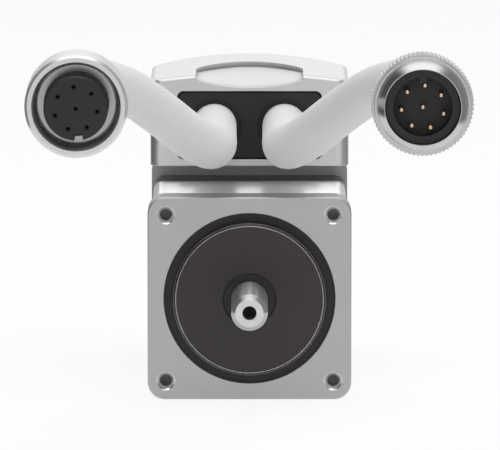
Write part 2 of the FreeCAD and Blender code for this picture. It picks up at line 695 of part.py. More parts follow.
def control_board_frame():
    """Lowest and highest corner of the control board."""
    half = HOUSING_SIDE / 2 - SIDE_WALL - CONTROL_BOARD_GAP
    y0 = Y_HOUSING + FRONT_WALL + CONTROL_BOARD_FRONT
    y1 = Y_HOUSING_END - SIDE_WALL - CONTROL_BOARD_GAP
    z0 = FLOOR_TOP + CONTROL_BOARD_RISE
    return V(-half, y0, z0), V(half, y1, z0 + BOARD_THICK)


def control_housing(envelope):
    """Open-topped housing with the panel's window in front and bosses for the control board."""
    cover = top_cover(envelope)
    half = HOUSING_SIDE / 2 - SIDE_WALL
    cavity = box(-half, half, Y_HOUSING + FRONT_WALL, Y_HOUSING_END - SIDE_WALL, FLOOR_TOP, ABOVE_ALL)
    body = envelope.cut(cover).cut(cavity)
    body = body.cut(panel_plate(Y_HOUSING, Y_PANEL + PANEL_THICK, 0.0))
    window = panel_plate(Y_HOUSING, Y_HOUSING + FRONT_WALL, PANEL_SEAT)
    body = body.cut(window)
    low, high = control_board_frame()
    for x in (low.x + POST_DIA / 2, high.x - POST_DIA / 2):
        for y in (low.y + POST_DIA / 2, high.y - POST_DIA / 2):
            body = body.fuse(Part.makeCylinder(POST_DIA / 2, low.z - FLOOR_TOP, V(x, y, FLOOR_TOP)))
    for x in HOUSING_SCREW_PLACES:
        mouth = V(x, HOUSING_SCREW_Y, BASE_TOP)
        body = body.cut(Part.makeCylinder(TIE_SCREW_HOLE / 2, HOUSING_FLOOR, mouth))
    return body.cut(wire_slot(BASE_TOP, FLOOR_TOP)).removeSplitter()


def housing_screws():
    """Two screws inside the housing that hold it on the end cap."""
    screws = []
    for x in HOUSING_SCREW_PLACES:
        screw = cap_screw(0.0, -HOUSING_FLOOR - HOUSING_SCREW_GRIP, TIE_SCREW_DIA, 0, 0,
                          COVER_HEAD_DIA, COVER_HEAD_HEIGHT)
        screw.rotate(V(0, 0, 0), V(1, 0, 0), 90)
        screw.translate(V(x, HOUSING_SCREW_Y, FLOOR_TOP))
        screws.append(screw)
    return group(screws)


def control_board():
    """Driver board on the housing's four bosses."""
    low, high = control_board_frame()
    return box(low.x, high.x, low.y, high.y, low.z, high.z)


def board_components():
    """Driver chip, two capacitors and a plug socket on the control board."""
    low, high = control_board_frame()
    middle = (low.y + high.y) / 2
    chip = box(-CHIP_SIDE / 2, CHIP_SIDE / 2, middle, middle + CHIP_SIDE, high.z, high.z + CHIP_HEIGHT)
    parts = [chip]
    for x in (low.x / 2, high.x / 2):
        foot = V(x, low.y + CAPACITOR_DIA, high.z)
        parts.append(Part.makeCylinder(CAPACITOR_DIA / 2, COMPONENT_TOP - high.z, foot))
    y_plug = high.y - PLUG_SOCKET_INSET
    parts.append(box(-PLUG_SOCKET_WIDTH / 2, PLUG_SOCKET_WIDTH / 2, y_plug - PLUG_SOCKET_DEPTH, y_plug,
                     high.z, COMPONENT_TOP))
    return group(parts)


def front_panel():
    """Black panel that the cables come out of."""
    panel = panel_plate(Y_PANEL, Y_PANEL + PANEL_THICK, PANEL_GAP)
    exit_point = CABLE_ROUTE[0]
    for x in (-exit_point.x, exit_point.x):
        panel = panel.cut(rod(GLAND_DIA, Y_PANEL, Y_PANEL + PANEL_THICK, x, exit_point.z))
    return panel


def cable_gland():
    """Rubber gland of the right cable, flush with the panel and flanged behind it."""
    x, z = CABLE_ROUTE[0].x, CABLE_ROUTE[0].z
    back = Y_PANEL + PANEL_THICK
    end = back + GLAND_FLANGE_THICK + GLAND_TAIL
    gland = rod(GLAND_DIA, Y_PANEL, end, x, z)
    gland = gland.fuse(rod(GLAND_FLANGE_DIA, back, back + GLAND_FLANGE_THICK, x, z))
    return gland.cut(rod(CABLE_DIA, Y_PANEL, end, x, z)).removeSplitter()


def cable():
    """Right cable: a tube along straight runs joined by tangent arcs."""
    edges = []
    start = CABLE_ROUTE[0]
    for before, corner, after in zip(CABLE_ROUTE, CABLE_ROUTE[1:], CABLE_ROUTE[2:]):
        to_before = (before - corner).normalize()
        to_after = (after - corner).normalize()
        turn = math.pi - to_before.getAngle(to_after)
        trim = CABLE_ARC_SHARE * min((before - corner).Length, (after - corner).Length)
        radius = trim / math.tan(turn / 2)
        print(f"cable arc radius {radius:.1f} mm")
        first = corner + to_before * trim
        last = corner + to_after * trim
        inward = (to_before + to_after).normalize()
        middle = corner + inward * (radius / math.cos(turn / 2) - radius)
        edges.append(Part.LineSegment(start, first).toShape())
        edges.append(Part.Arc(first, middle, last).toShape())
        start = last
    edges.append(Part.LineSegment(start, CABLE_ROUTE[-1]).toShape())
    path = Part.Wire(edges)
    heading = CABLE_ROUTE[1] - CABLE_ROUTE[0]
    section = Part.Wire(Part.makeCircle(CABLE_DIA / 2, CABLE_ROUTE[0], heading))
    solid = path.makePipeShell([section], True, False)
    expected = math.pi * CABLE_DIA ** 2 / 4 * path.Length
    print(f"cable length {path.Length:.1f} mm, volume {solid.Volume:.0f} of {expected:.0f} cubic mm")
    return solid


def connector_body(x):
    """Moulded grip with a neck and a collar that keeps the coupling ring on."""
    bore = CABLE_DIA / 2
    back = Y_PLUG_BACK + CABLE_SEAT
    return turned([(back, bore), (back, GRIP_TAIL_DIA / 2), (back - GRIP_TAPER, GRIP_DIA / 2),
                   (Y_NECK + COLLAR_GAP, GRIP_DIA / 2), (Y_NECK + COLLAR_GAP, NECK_DIA / 2),
                   (Y_COLLAR, NECK_DIA / 2), (Y_COLLAR, COLLAR_DIA / 2), (Y_CARRIER, COLLAR_DIA / 2),
                   (Y_CARRIER, 0.0), (Y_PLUG_BACK, 0.0), (Y_PLUG_BACK, bore)], x, Z_PLUG)


def contact_places(x):
    """Middles of the eight contacts: seven on a circle, the first beside the top, and one in the middle."""
    first = 90 - math.copysign(CONTACT_TURN, x)
    turns = [math.radians(first + 360 * i / CONTACT_RING) for i in range(CONTACT_RING)]
    ring = [(x + CONTACT_CIRCLE / 2 * math.cos(t), Z_PLUG + CONTACT_CIRCLE / 2 * math.sin(t)) for t in turns]
    return ring + [(x, Z_PLUG)]


def coupling_nut(x):
    """Smooth nut of the socket connector, with a sloping front."""
    outer = NUT_DIA / 2
    lip = NECK_DIA / 2 + NECK_CLEARANCE
    bore = NUT_BORE / 2
    return turned([(Y_NECK, lip), (Y_NECK, outer - NUT_HEEL), (Y_NECK - NUT_HEEL, outer),
                   (Y_NUT_FRONT + NUT_SLOPE, outer), (Y_NUT_FRONT, bore + NUT_FACE),
                   (Y_NUT_FRONT, bore), (Y_NECK - NUT_LIP, bore), (Y_NECK - NUT_LIP, lip)], x, Z_PLUG)


def coupling_ring(x):
    """Ring of the pin connector: a knurled band, a ridge in front of it and a rounded nose."""
    lip = NECK_DIA / 2 + NECK_CLEARANCE
    chamber = NUT_BORE / 2
    bore = RING_BORE / 2
    ridge = RING_RIDGE_DIA / 2
    nose = RING_NOSE_DIA / 2
    mouth = RING_MOUTH_DIA / 2
    knurl_end = Y_NECK - KNURL_BACK
    knurl = knurl_end - KNURL_LENGTH
    nose_end = Y_RING_FRONT + NOSE_LENGTH
    chamber_front = Y_CARRIER - COLLAR_GAP
    slope = Part.Arc(V(nose, nose_end, 0),
                     V((nose + mouth) / 2 + NOSE_BULGE, (nose_end + Y_RING_FRONT) / 2 - NOSE_BULGE, 0),
                     V(mouth, Y_RING_FRONT, 0)).toShape()
    inside = [V(mouth, Y_RING_FRONT, 0), V(bore, Y_RING_FRONT, 0), V(bore, chamber_front, 0),
              V(chamber, chamber_front, 0), V(chamber, Y_NECK - NUT_LIP, 0), V(lip, Y_NECK - NUT_LIP, 0),
              V(lip, Y_NECK, 0), V(ridge - NUT_HEEL, Y_NECK, 0), V(ridge, Y_NECK - NUT_HEEL, 0),
              V(ridge, nose_end, 0), V(nose, nose_end, 0)]
    face = Part.Face(Part.Wire([slope] + Part.makePolygon(inside).Edges))
    ring = face.revolve(V(0, 0, 0), V(0, 1, 0), 360)
    points = []
    for i in range(2 * KNURL_COUNT):
        radius = RING_DIA / 2 - KNURL_DEPTH * (i % 2)
        turn = math.pi * i / KNURL_COUNT
        points.append(V(radius * math.cos(turn), knurl, radius * math.sin(turn)))
    band = Part.Face(Part.makePolygon(points + points[:1])).extrude(V(0, KNURL_LENGTH, 0))
    band = band.cut(rod(RING_RIDGE_DIA - 2 * KNURL_DEPTH, knurl, knurl_end))
    ring = ring.fuse(band).removeSplitter()
    ring.translate(V(x, 0, Z_PLUG))
    return ring


def socket_carrier(x):
    """Round insulator of the socket connector: keyway below, contacts held behind narrower mouths."""
    radius = SOCKET_FACE_DIA / 2
    front = Y_NUT_FRONT - SOCKET_FACE_PROUD
    carrier = turned([(front, 0.0), (front, radius - SOCKET_FACE_EDGE), (front + SOCKET_FACE_EDGE, radius),
                      (Y_CARRIER, radius), (Y_CARRIER, 0.0)], x, Z_PLUG)
    half = KEY_WIDTH / 2
    z_rim = Z_PLUG - radius
    keyway = box(x - half, x + half, front, Y_CARRIER, z_rim - KEY_DEPTH, z_rim + KEY_DEPTH)
    keyway.rotate(V(x, 0, Z_PLUG), V(0, 1, 0), math.copysign(CONTACT_TURN, x))
    carrier = carrier.cut(keyway)
    seat = front + SOCKET_BACK
    for hole_x, hole_z in contact_places(x):
        carrier = carrier.cut(rod(SOCKET_MOUTH_DIA, front, seat, hole_x, hole_z))
        carrier = carrier.cut(rod(SOCKET_DIA, seat, Y_CARRIER, hole_x, hole_z))
    return carrier


def shield_sleeve(x):
    """Metal sleeve round the socket carrier."""
    return tube(SLEEVE_DIA, SOCKET_FACE_DIA, Y_NUT_FRONT + SLEEVE_BACK, Y_CARRIER, x, Z_PLUG)


def socket_contacts(x):
    """Eight tubular contacts in the socket carrier."""
    front = Y_NUT_FRONT - SOCKET_FACE_PROUD + SOCKET_BACK
    return group([tube(SOCKET_DIA, SOCKET_BORE, front, Y_CARRIER, hole_x, hole_z)
                  for hole_x, hole_z in contact_places(x)])


def pin_carrier(x):
    """Cup-shaped insulator of the pin connector with its key on top."""
    front = Y_RING_FRONT + PIN_CARRIER_BACK
    floor = Y_RING_FRONT + PIN_FLOOR_BACK
    inner = PIN_CARRIER_DIA - 2 * PIN_CARRIER_WALL
    carrier = rod(PIN_CARRIER_DIA, front, Y_CARRIER, x, Z_PLUG).cut(rod(inner, front, floor, x, Z_PLUG))
    z_key = Z_PLUG + inner / 2
    half = KEY_WIDTH / 2
    z_top = z_key + PIN_CARRIER_WALL / 2
    carrier = carrier.fuse(box(x - half, x + half, front, floor, z_key - KEY_DEPTH, z_top))
    for hole_x, hole_z in contact_places(x):
        carrier = carrier.cut(rod(PIN_DIA, front, Y_CARRIER, hole_x, hole_z))
    return carrier.removeSplitter()


def contact_pins(x):
    """Eight round-nosed pins in the pin carrier."""
    radius = PIN_DIA / 2
    front = Y_RING_FRONT + PIN_BACK
    nose = front + radius
    bend = radius * math.sqrt(0.5)
    arc = Part.Arc(V(0, front, 0), V(bend, nose - bend, 0), V(radius, nose, 0)).toShape()
    corners = [V(radius, nose, 0), V(radius, Y_CARRIER, 0), V(0, Y_CARRIER, 0), V(0, front, 0)]
    outline = Part.Wire([arc] + Part.makePolygon(corners).Edges)
    pin = Part.Face(outline).revolve(V(0, 0, 0), V(0, 1, 0), 360)
    return group([pin.translated(V(pin_x, 0, pin_z)) for pin_x, pin_z in contact_places(x)])


def build():
    """All pieces by node name."""
    front_outer, front_inner, front_balls, front_cage = bearing(Y_FRONT_BEARING)
    rear_outer, rear_inner, rear_balls, rear_cage = bearing(Y_REAR_BEARING)
    stack = (CORE_LENGTH - MAGNET_THICK) / 2
    y_magnet = Y_CORE + stack
    y_rear_stack = y_magnet + MAGNET_THICK
    half_pitch = 180 / ROTOR_TEETH
    spacer_dia = JOURNAL_DIA + 2 * SPACER_WALL
    envelope = housing_envelope()
    y_tail = Y_SHAFT_END + ENCODER_MAGNET_THICK
    y_front_inner = Y_FRONT_BEARING + BEARING_WIDTH
    gland = cable_gland()
    lead = cable()
    return {
        "front_flange": front_flange(),
        "pilot_disc": pilot_disc(),
        "shaft_seal": shaft_seal(),
        "shaft": shaft(),
        "front_bearing_outer_ring": front_outer,
        "front_bearing_inner_ring": front_inner,
        "front_bearing_balls": front_balls,
        "front_bearing_cage": front_cage,
        "rear_bearing_outer_ring": rear_outer,
        "rear_bearing_inner_ring": rear_inner,
        "rear_bearing_balls": rear_balls,
        "rear_bearing_cage": rear_cage,
        "wave_spring": tube(BEARING_DIA, 2 * (PITCH_RADIUS + RACE_STEP), Y_SPRING, Y_SPRING + SPRING_THICK),
        "front_spacer": tube(spacer_dia, JOURNAL_DIA, y_front_inner, Y_CORE),
        "rear_spacer": tube(spacer_dia, JOURNAL_DIA, Y_CORE_END, Y_REAR_BEARING),
        "rotor_front_stack": toothed_disc(ROTOR_DIA, ROTOR_TEETH, Y_CORE, y_magnet, 0.0),
        "rotor_magnet": tube(ROTOR_DIA - 2 * MAGNET_STEP, JOURNAL_DIA, y_magnet, y_rear_stack),
        "rotor_rear_stack": toothed_disc(ROTOR_DIA, ROTOR_TEETH, y_rear_stack, Y_CORE_END, half_pitch),
        "stator_core": stator_core(),
        "front_insulator": insulator(Y_CORE - INSULATOR_THICK),
        "rear_insulator": insulator(Y_CORE_END),
        "stator_coils": stator_coils(),
        "stator_case": body_ring(FLANGE_THICK, Y_BELL),
        "rear_bell": body_ring(Y_BELL, Y_CASE_END),
        "rear_end_cap": rear_end_cap(),
        "tie_screws": tie_screws(),
        "cover_gasket": cover_gasket(),
        "rear_cover": rear_cover(),
        "cover_screws": cover_screws(),
        "encoder_hub": encoder_hub(),
        "encoder_magnet": rod(ENCODER_MAGNET_DIA, Y_SHAFT_END, y_tail),
        "encoder_posts": encoder_posts(),
        "encoder_board": encoder_board(),
        "encoder_screws": encoder_screws(),
        "control_housing": control_housing(envelope),
        "top_cover": top_cover(envelope),
        "housing_screws": housing_screws(),
        "control_board": control_board(),
        "board_components": board_components(),
        "front_panel": front_panel(),
        "left_cable_gland": mirrored(gland),
        "right_cable_gland": gland,
        "left_cable": mirrored(lead),
        "right_cable": lead,
        "left_connector_body": connector_body(-X_PLUG),
        "right_connector_body": connector_body(X_PLUG),
        "left_coupling_nut": coupling_nut(-X_PLUG),
        "right_coupling_ring": coupling_ring(X_PLUG),
        "left_contact_carrier": socket_carrier(-X_PLUG),
        "right_contact_carrier": pin_carrier(X_PLUG),
        "left_shield_sleeve": shield_sleeve(-X_PLUG),
        "left_socket_contacts": socket_contacts(-X_PLUG),
        "right_contact_pins": contact_pins(X_PLUG),
    }


os.makedirs("parts", exist_ok=True)
for name, shape in build().items():
    shape.exportStep(f"parts/{name}.step")
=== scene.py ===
"""Studio scene of a small stepper motor with a control housing on its rear end and two connector leads.

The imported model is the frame: its solids stay where they are and get their finishes here, and the two cables,
the threads and the small details are modelled on top of it. Sizes and places are in millimetres and angles in
degrees, and they turn into Blender's units where it gets them. The origin is the middle of the flange's front
face, the shaft points to -Y, and +Z is up.
"""
import json
import logging
import math
from dataclasses import dataclass, field
from enum import Enum

import bmesh
import bpy
from mathutils import Matrix, Vector


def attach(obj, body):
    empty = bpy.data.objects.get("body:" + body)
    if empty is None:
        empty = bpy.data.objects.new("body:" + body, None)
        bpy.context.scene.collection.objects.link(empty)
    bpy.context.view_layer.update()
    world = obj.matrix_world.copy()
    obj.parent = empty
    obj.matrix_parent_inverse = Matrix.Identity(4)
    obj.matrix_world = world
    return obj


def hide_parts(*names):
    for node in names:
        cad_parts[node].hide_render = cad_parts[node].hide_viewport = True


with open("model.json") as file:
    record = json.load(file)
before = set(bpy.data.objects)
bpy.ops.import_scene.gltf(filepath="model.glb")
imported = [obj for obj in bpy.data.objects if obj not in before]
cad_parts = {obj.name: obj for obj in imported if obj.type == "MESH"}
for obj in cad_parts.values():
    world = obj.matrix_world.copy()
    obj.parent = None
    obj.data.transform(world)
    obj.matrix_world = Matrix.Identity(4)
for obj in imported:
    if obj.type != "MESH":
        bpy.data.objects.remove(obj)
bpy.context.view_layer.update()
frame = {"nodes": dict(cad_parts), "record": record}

MM = 0.001
LOG = logging.getLogger("stepper_motor")

# Places that several pieces and finishes share, in millimetres: the connectors' axes in X and Z, and the side
# of the square on which the four bolt holes lie
LEFT_PLUG = (-22.55, 33.4)
RIGHT_PLUG = (22.55, 33.4)
BOLT_SQUARE = 23.0

# How finely the painted shade in creases and the edges are sampled, and between which values each of them fades
# out
CREASE_SHADE_SAMPLES = 8
CREASE_SHADE_RANGE = (0.35, 0.95)
EDGE_SAMPLES = 6
WORN_RANGE = (0.99, 0.96)

# How many finer layers the noise of a grain, of tool marks and of a slow change of shade has
GRAIN_DETAIL = 3.0
MARKS_DETAIL = 4.0
CLOUD_DETAIL = 2.0

# A quarter turn, as the shader counts turns: it lays a highlight's long side across the marks of grinding
QUARTER_TURN = 0.25


def linear(code: str) -> tuple[float, float, float, float]:
    """Turn an sRGB hex colour into the linear colour that a socket takes.

    Args:
        code: colour as six hex digits with a leading hash.

    Returns:
        Linear red, green and blue, and an alpha of one.
    """
    parts = [int(code[i:i + 2], 16) / 255 for i in (1, 3, 5)]
    red, green, blue = [p / 12.92 if p <= 0.04045 else ((p + 0.055) / 1.055) ** 2.4 for p in parts]
    return red, green, blue, 1.0


def add_node(tree: bpy.types.NodeTree, kind: str, settings: dict | None = None,
             links: dict | None = None) -> bpy.types.Node:
    """Add a node with its settings and links.

    Args:
        tree: node tree that gets the node.
        kind: Blender's name of the node type.
        settings: values by socket name, socket number or property name.
        links: output sockets by the input's name or number that they feed.

    Returns:
        The new node.
    """
    node = tree.nodes.new(kind)
    for key, value in (settings or {}).items():
        if isinstance(key, int) or key in node.inputs:
            node.inputs[key].default_value = value
        else:
            setattr(node, key, value)
    for key, socket in (links or {}).items():
        tree.links.new(socket, node.inputs[key])
    return node


class Pattern(Enum):
    """Ways in which a surface was made, which give its fine pattern."""

    GRAIN = "blasted or moulded"
    GROUND = "ground round its own axis"
    TURNED = "turned on a lathe"
    WOUND = "wound from wire"
    SHEETS = "stacked from sheets"


def within(tree: bpy.types.NodeTree, place: bpy.types.NodeSocket, radius: float,
           square: float = 0.0) -> bpy.types.NodeSocket:
    """Mark what lies within a radius of one axis along Y, or of four at the corners of a square.

    Args:
        tree: node tree of the material.
        place: object coordinates in metres, centred on the pattern's axis.
        radius: radius in millimetres.
        square: side of the square of axes in millimetres; zero is one axis.

    Returns:
        Socket that is one inside and zero elsewhere.
    """
    axes = add_node(tree, "ShaderNodeSeparateXYZ", links={0: place})
    offsets = {}
    for axis in ("X", "Z"):
        size = add_node(tree, "ShaderNodeMath", {"operation": "ABSOLUTE"}, {0: axes.outputs[axis]})
        offsets[axis] = add_node(tree, "ShaderNodeMath", {"operation": "SUBTRACT", 1: square / 2 * MM},
                                 {0: size.outputs[0]}).outputs[0]
    flat = add_node(tree, "ShaderNodeCombineXYZ", links=offsets)
    away = add_node(tree, "ShaderNodeVectorMath", {"operation": "LENGTH"}, {0: flat.outputs[0]})
    return add_node(tree, "ShaderNodeMath", {"operation": "LESS_THAN", 1: radius * MM},
                    {0: away.outputs["Value"]}).outputs[0]


@dataclass(frozen=True)
class Zone:
    """Round part of a surface about one or four axes along Y, with its own finish or with painted light or
    shade.

    Radius and square, the side of the square of four axes, are in millimetres.
    """

    radius: float
    colour: str
    metallic: float
    roughness: float
    square: float = 0.0


@dataclass(frozen=True)
class Finish:
    """What a material is and how its surface was made.

    Sizes are in millimetres. Grain is the pattern's spacing, relief its height and cloud the width of slow
    changes of shade, with cloud_share for their strength. Edge is the radius to which edges are softened, and
    over which they are worn where they have a colour of their own, but not within edge_clear of the centre.
    Crease is the width of the painted shade in inner corners, a darker colour standing in for the shade there.
    Brushed is how far the marks of grinding, round the piece's own axis along Y, draw its highlights out.
    """

    name: str
    colour: str
    shade: str
    metallic: float
    roughness: tuple[float, float]
    pattern: Pattern = Pattern.GRAIN
    grain: float = 0.2
    relief: float = 0.004
    cloud: float = 6.0
    cloud_share: float = 0.06
    edge: float = 0.12
    edge_colour: str | None = None
    edge_metallic: float = 1.0
    edge_clear: float = 0.0
    crease_shade: float = 0.0
    crease_shade_colour: str = "#000000"
    ior: float = 1.5
    coat: float = 0.0
    sheen: float = 0.0
    brushed: float = 0.0
    centre: tuple[float, float] = (0.0, 0.0)
    zones: tuple[Zone, ...] = ()

    def rule(self, tree: bpy.types.NodeTree, place: bpy.types.NodeSocket) -> bpy.types.NodeSocket:
        """Draw the fine pattern of the surface.

        Args:
            tree: node tree of the material.
            place: object coordinates in metres, centred on the pattern's axis.

        Returns:
            Socket with the pattern's value between zero and one.
        """
        density = 1 / (self.grain * MM)
        if self.pattern is Pattern.GRAIN:
            noise = add_node(tree, "ShaderNodeTexNoise", {"Scale": density, "Detail": GRAIN_DETAIL},
                             {"Vector": place})
            return noise.outputs["Fac"]
        axes = add_node(tree, "ShaderNodeSeparateXYZ", links={0: place})
        if self.pattern in (Pattern.GROUND, Pattern.SHEETS):
            along = axes.outputs["Y"]
        else:
            flat = add_node(tree, "ShaderNodeCombineXYZ",
                            links={"X": axes.outputs["X"], "Z": axes.outputs["Z"]})
            along = add_node(tree, "ShaderNodeVectorMath", {"operation": "LENGTH"},
                             {0: flat.outputs[0]}).outputs["Value"]
        if self.pattern in (Pattern.WOUND, Pattern.SHEETS):
            turn = add_node(tree, "ShaderNodeMath", {"operation": "MULTIPLY", 1: 2 * math.pi * density},
                            {0: along})
            wave = add_node(tree, "ShaderNodeMath", {"operation": "SINE"}, {0: turn.outputs[0]})
            return add_node(tree, "ShaderNodeMath", {"operation": "MULTIPLY_ADD", 1: 0.5, 2: 0.5},
                            {0: wave.outputs[0]}).outputs[0]
        noise = add_node(tree, "ShaderNodeTexNoise",
                         {"noise_dimensions": "1D", "Scale": density, "Detail": MARKS_DETAIL}, {"W": along})
        return noise.outputs["Fac"]

    def set_constants(self, tree: bpy.types.NodeTree, shader: bpy.types.Node) -> None:
        """Set what is the same all over the surface.

        Args:
            tree: node tree of the material.
            shader: its shader.
        """
        shader.inputs["IOR"].default_value = self.ior
        shader.inputs["Coat Weight"].default_value = self.coat
        shader.inputs["Sheen Weight"].default_value = self.sheen
        shader.inputs["Metallic"].default_value = self.metallic
        if self.brushed:
            shader.inputs["Anisotropic"].default_value = self.brushed
            shader.inputs["Anisotropic Rotation"].default_value = QUARTER_TURN
            around = add_node(tree, "ShaderNodeTangent", {"direction_type": "RADIAL", "axis": "Y"})
            tree.links.new(around.outputs[0], shader.inputs["Tangent"])

    def cloud_over(self, tree: bpy.types.NodeTree, place: bpy.types.NodeSocket,
                   fine: bpy.types.NodeSocket) -> bpy.types.NodeSocket:
        """Add slow changes of shade to the fine pattern.

        Args:
            tree: node tree of the material.
            place: object coordinates in metres, centred on the pattern's axis.
            fine: the fine pattern.

        Returns:
            Socket with the share of the lighter colour.
        """
        cloud = add_node(tree, "ShaderNodeTexNoise",
                         {"Scale": 1 / (self.cloud * MM), "Detail": CLOUD_DETAIL}, {"Vector": place})
        blend = add_node(tree, "ShaderNodeMapRange",
                         {"To Min": -self.cloud_share, "To Max": self.cloud_share},
                         {"Value": cloud.outputs["Fac"]})
        return add_node(tree, "ShaderNodeMath", {"operation": "ADD", "use_clamp": True},
                        {0: fine, 1: blend.outputs[0]}).outputs[0]

    def paint_crease_shade(self, tree: bpy.types.NodeTree, colour: bpy.types.NodeSocket) -> bpy.types.NodeSocket:
        """Paint shade into the inner corners, as a darker colour where the surface is sheltered.

        Args:
            tree: node tree of the material.
            colour: colour so far.

        Returns:
            Socket with the new colour.
        """
        occlusion = add_node(tree, "ShaderNodeAmbientOcclusion",
                           {"samples": CREASE_SHADE_SAMPLES, "Distance": self.crease_shade * MM})
        clear = add_node(tree, "ShaderNodeMapRange",
                         {"From Min": CREASE_SHADE_RANGE[0], "From Max": CREASE_SHADE_RANGE[1]},
                         {"Value": occlusion.outputs["AO"]})
        return add_node(tree, "ShaderNodeMix", {"data_type": "RGBA", 6: linear(self.crease_shade_colour)},
                        {0: clear.outputs[0], 7: colour}).outputs[2]

    def find_worn(self, tree: bpy.types.NodeTree, place: bpy.types.NodeSocket,
                  soft: bpy.types.NodeSocket) -> bpy.types.NodeSocket:
        """Mark the outer edges that are worn bright.

        Args:
            tree: node tree of the material.
            place: object coordinates in metres, centred on the pattern's axis.
            soft: normal of the softened surface.

        Returns:
            Socket that is one on a worn edge and zero elsewhere.
        """
        face = add_node(tree, "ShaderNodeNewGeometry")
        same = add_node(tree, "ShaderNodeVectorMath", {"operation": "DOT_PRODUCT"},
                        {0: soft, 1: face.outputs["Normal"]})
        worn = add_node(tree, "ShaderNodeMapRange", {"From Min": WORN_RANGE[0], "From Max": WORN_RANGE[1]},
                        {"Value": same.outputs["Value"]}).outputs[0]
        if self.edge_clear:
            worn = add_node(tree, "ShaderNodeMath", {"operation": "SUBTRACT", "use_clamp": True},
                            {0: worn, 1: within(tree, place, self.edge_clear)}).outputs[0]
        return worn

    def material(self) -> bpy.types.Material:
        """Build the node material of this finish.

        Returns:
            New material with colour, roughness and relief from its patterns.
        """
        paint = bpy.data.materials.new(self.name)
        paint.use_nodes = True
        tree = paint.node_tree
        shader = tree.nodes["Principled BSDF"]
        self.set_constants(tree, shader)
        source = add_node(tree, "ShaderNodeTexCoord")
        shift = (-self.centre[0] * MM, 0.0, -self.centre[1] * MM)
        place = add_node(tree, "ShaderNodeMapping", {"Location": shift},
                         {"Vector": source.outputs["Object"]}).outputs[0]
        fine = self.rule(tree, place)
        share = self.cloud_over(tree, place, fine)
        colour = add_node(tree, "ShaderNodeMix", {"data_type": "RGBA", 6: linear(self.shade),
                                                  7: linear(self.colour)}, {0: share}).outputs[2]
        rough = add_node(tree, "ShaderNodeMapRange",
                         {"To Min": self.roughness[0], "To Max": self.roughness[1]},
                         {"Value": share}).outputs[0]
        # Painted shade: inner corners get a darker colour that stands in for the shade falling there
        if self.crease_shade:
            colour = self.paint_crease_shade(tree, colour)
        metal = None
        soft = add_node(tree, "ShaderNodeBevel",
                        {"samples": EDGE_SAMPLES, "Radius": self.edge * MM}).outputs[0]
        if self.edge_colour:
            worn = self.find_worn(tree, place, soft)
            colour = add_node(tree, "ShaderNodeMix", {"data_type": "RGBA", 7: linear(self.edge_colour)},
                              {0: worn, 6: colour}).outputs[2]
            metal = add_node(tree, "ShaderNodeMix", {2: self.metallic, 3: self.edge_metallic},
                             {0: worn}).outputs[0]
        # Zones give round parts their own finish, or painted light or shade
        for zone in self.zones:
            inside = within(tree, place, zone.radius, zone.square)
            colour = add_node(tree, "ShaderNodeMix", {"data_type": "RGBA", 7: linear(zone.colour)},
                              {0: inside, 6: colour}).outputs[2]
            rough = add_node(tree, "ShaderNodeMix", {3: zone.roughness}, {0: inside, 2: rough}).outputs[0]
            base = {2: metal} if metal else {}
            metal = add_node(tree, "ShaderNodeMix", {2: self.metallic, 3: zone.metallic},
                             {0: inside, **base}).outputs[0]
        if metal:
            tree.links.new(metal, shader.inputs["Metallic"])
        bump = add_node(tree, "ShaderNodeBump", {"Strength": 1.0, "Distance": self.relief * MM},
                        {"Height": fine, "Normal": soft})
        tree.links.new(colour, shader.inputs["Base Color"])
        tree.links.new(rough, shader.inputs["Roughness"])
        tree.links.new(bump.outputs[0], shader.inputs["Normal"])
        return paint


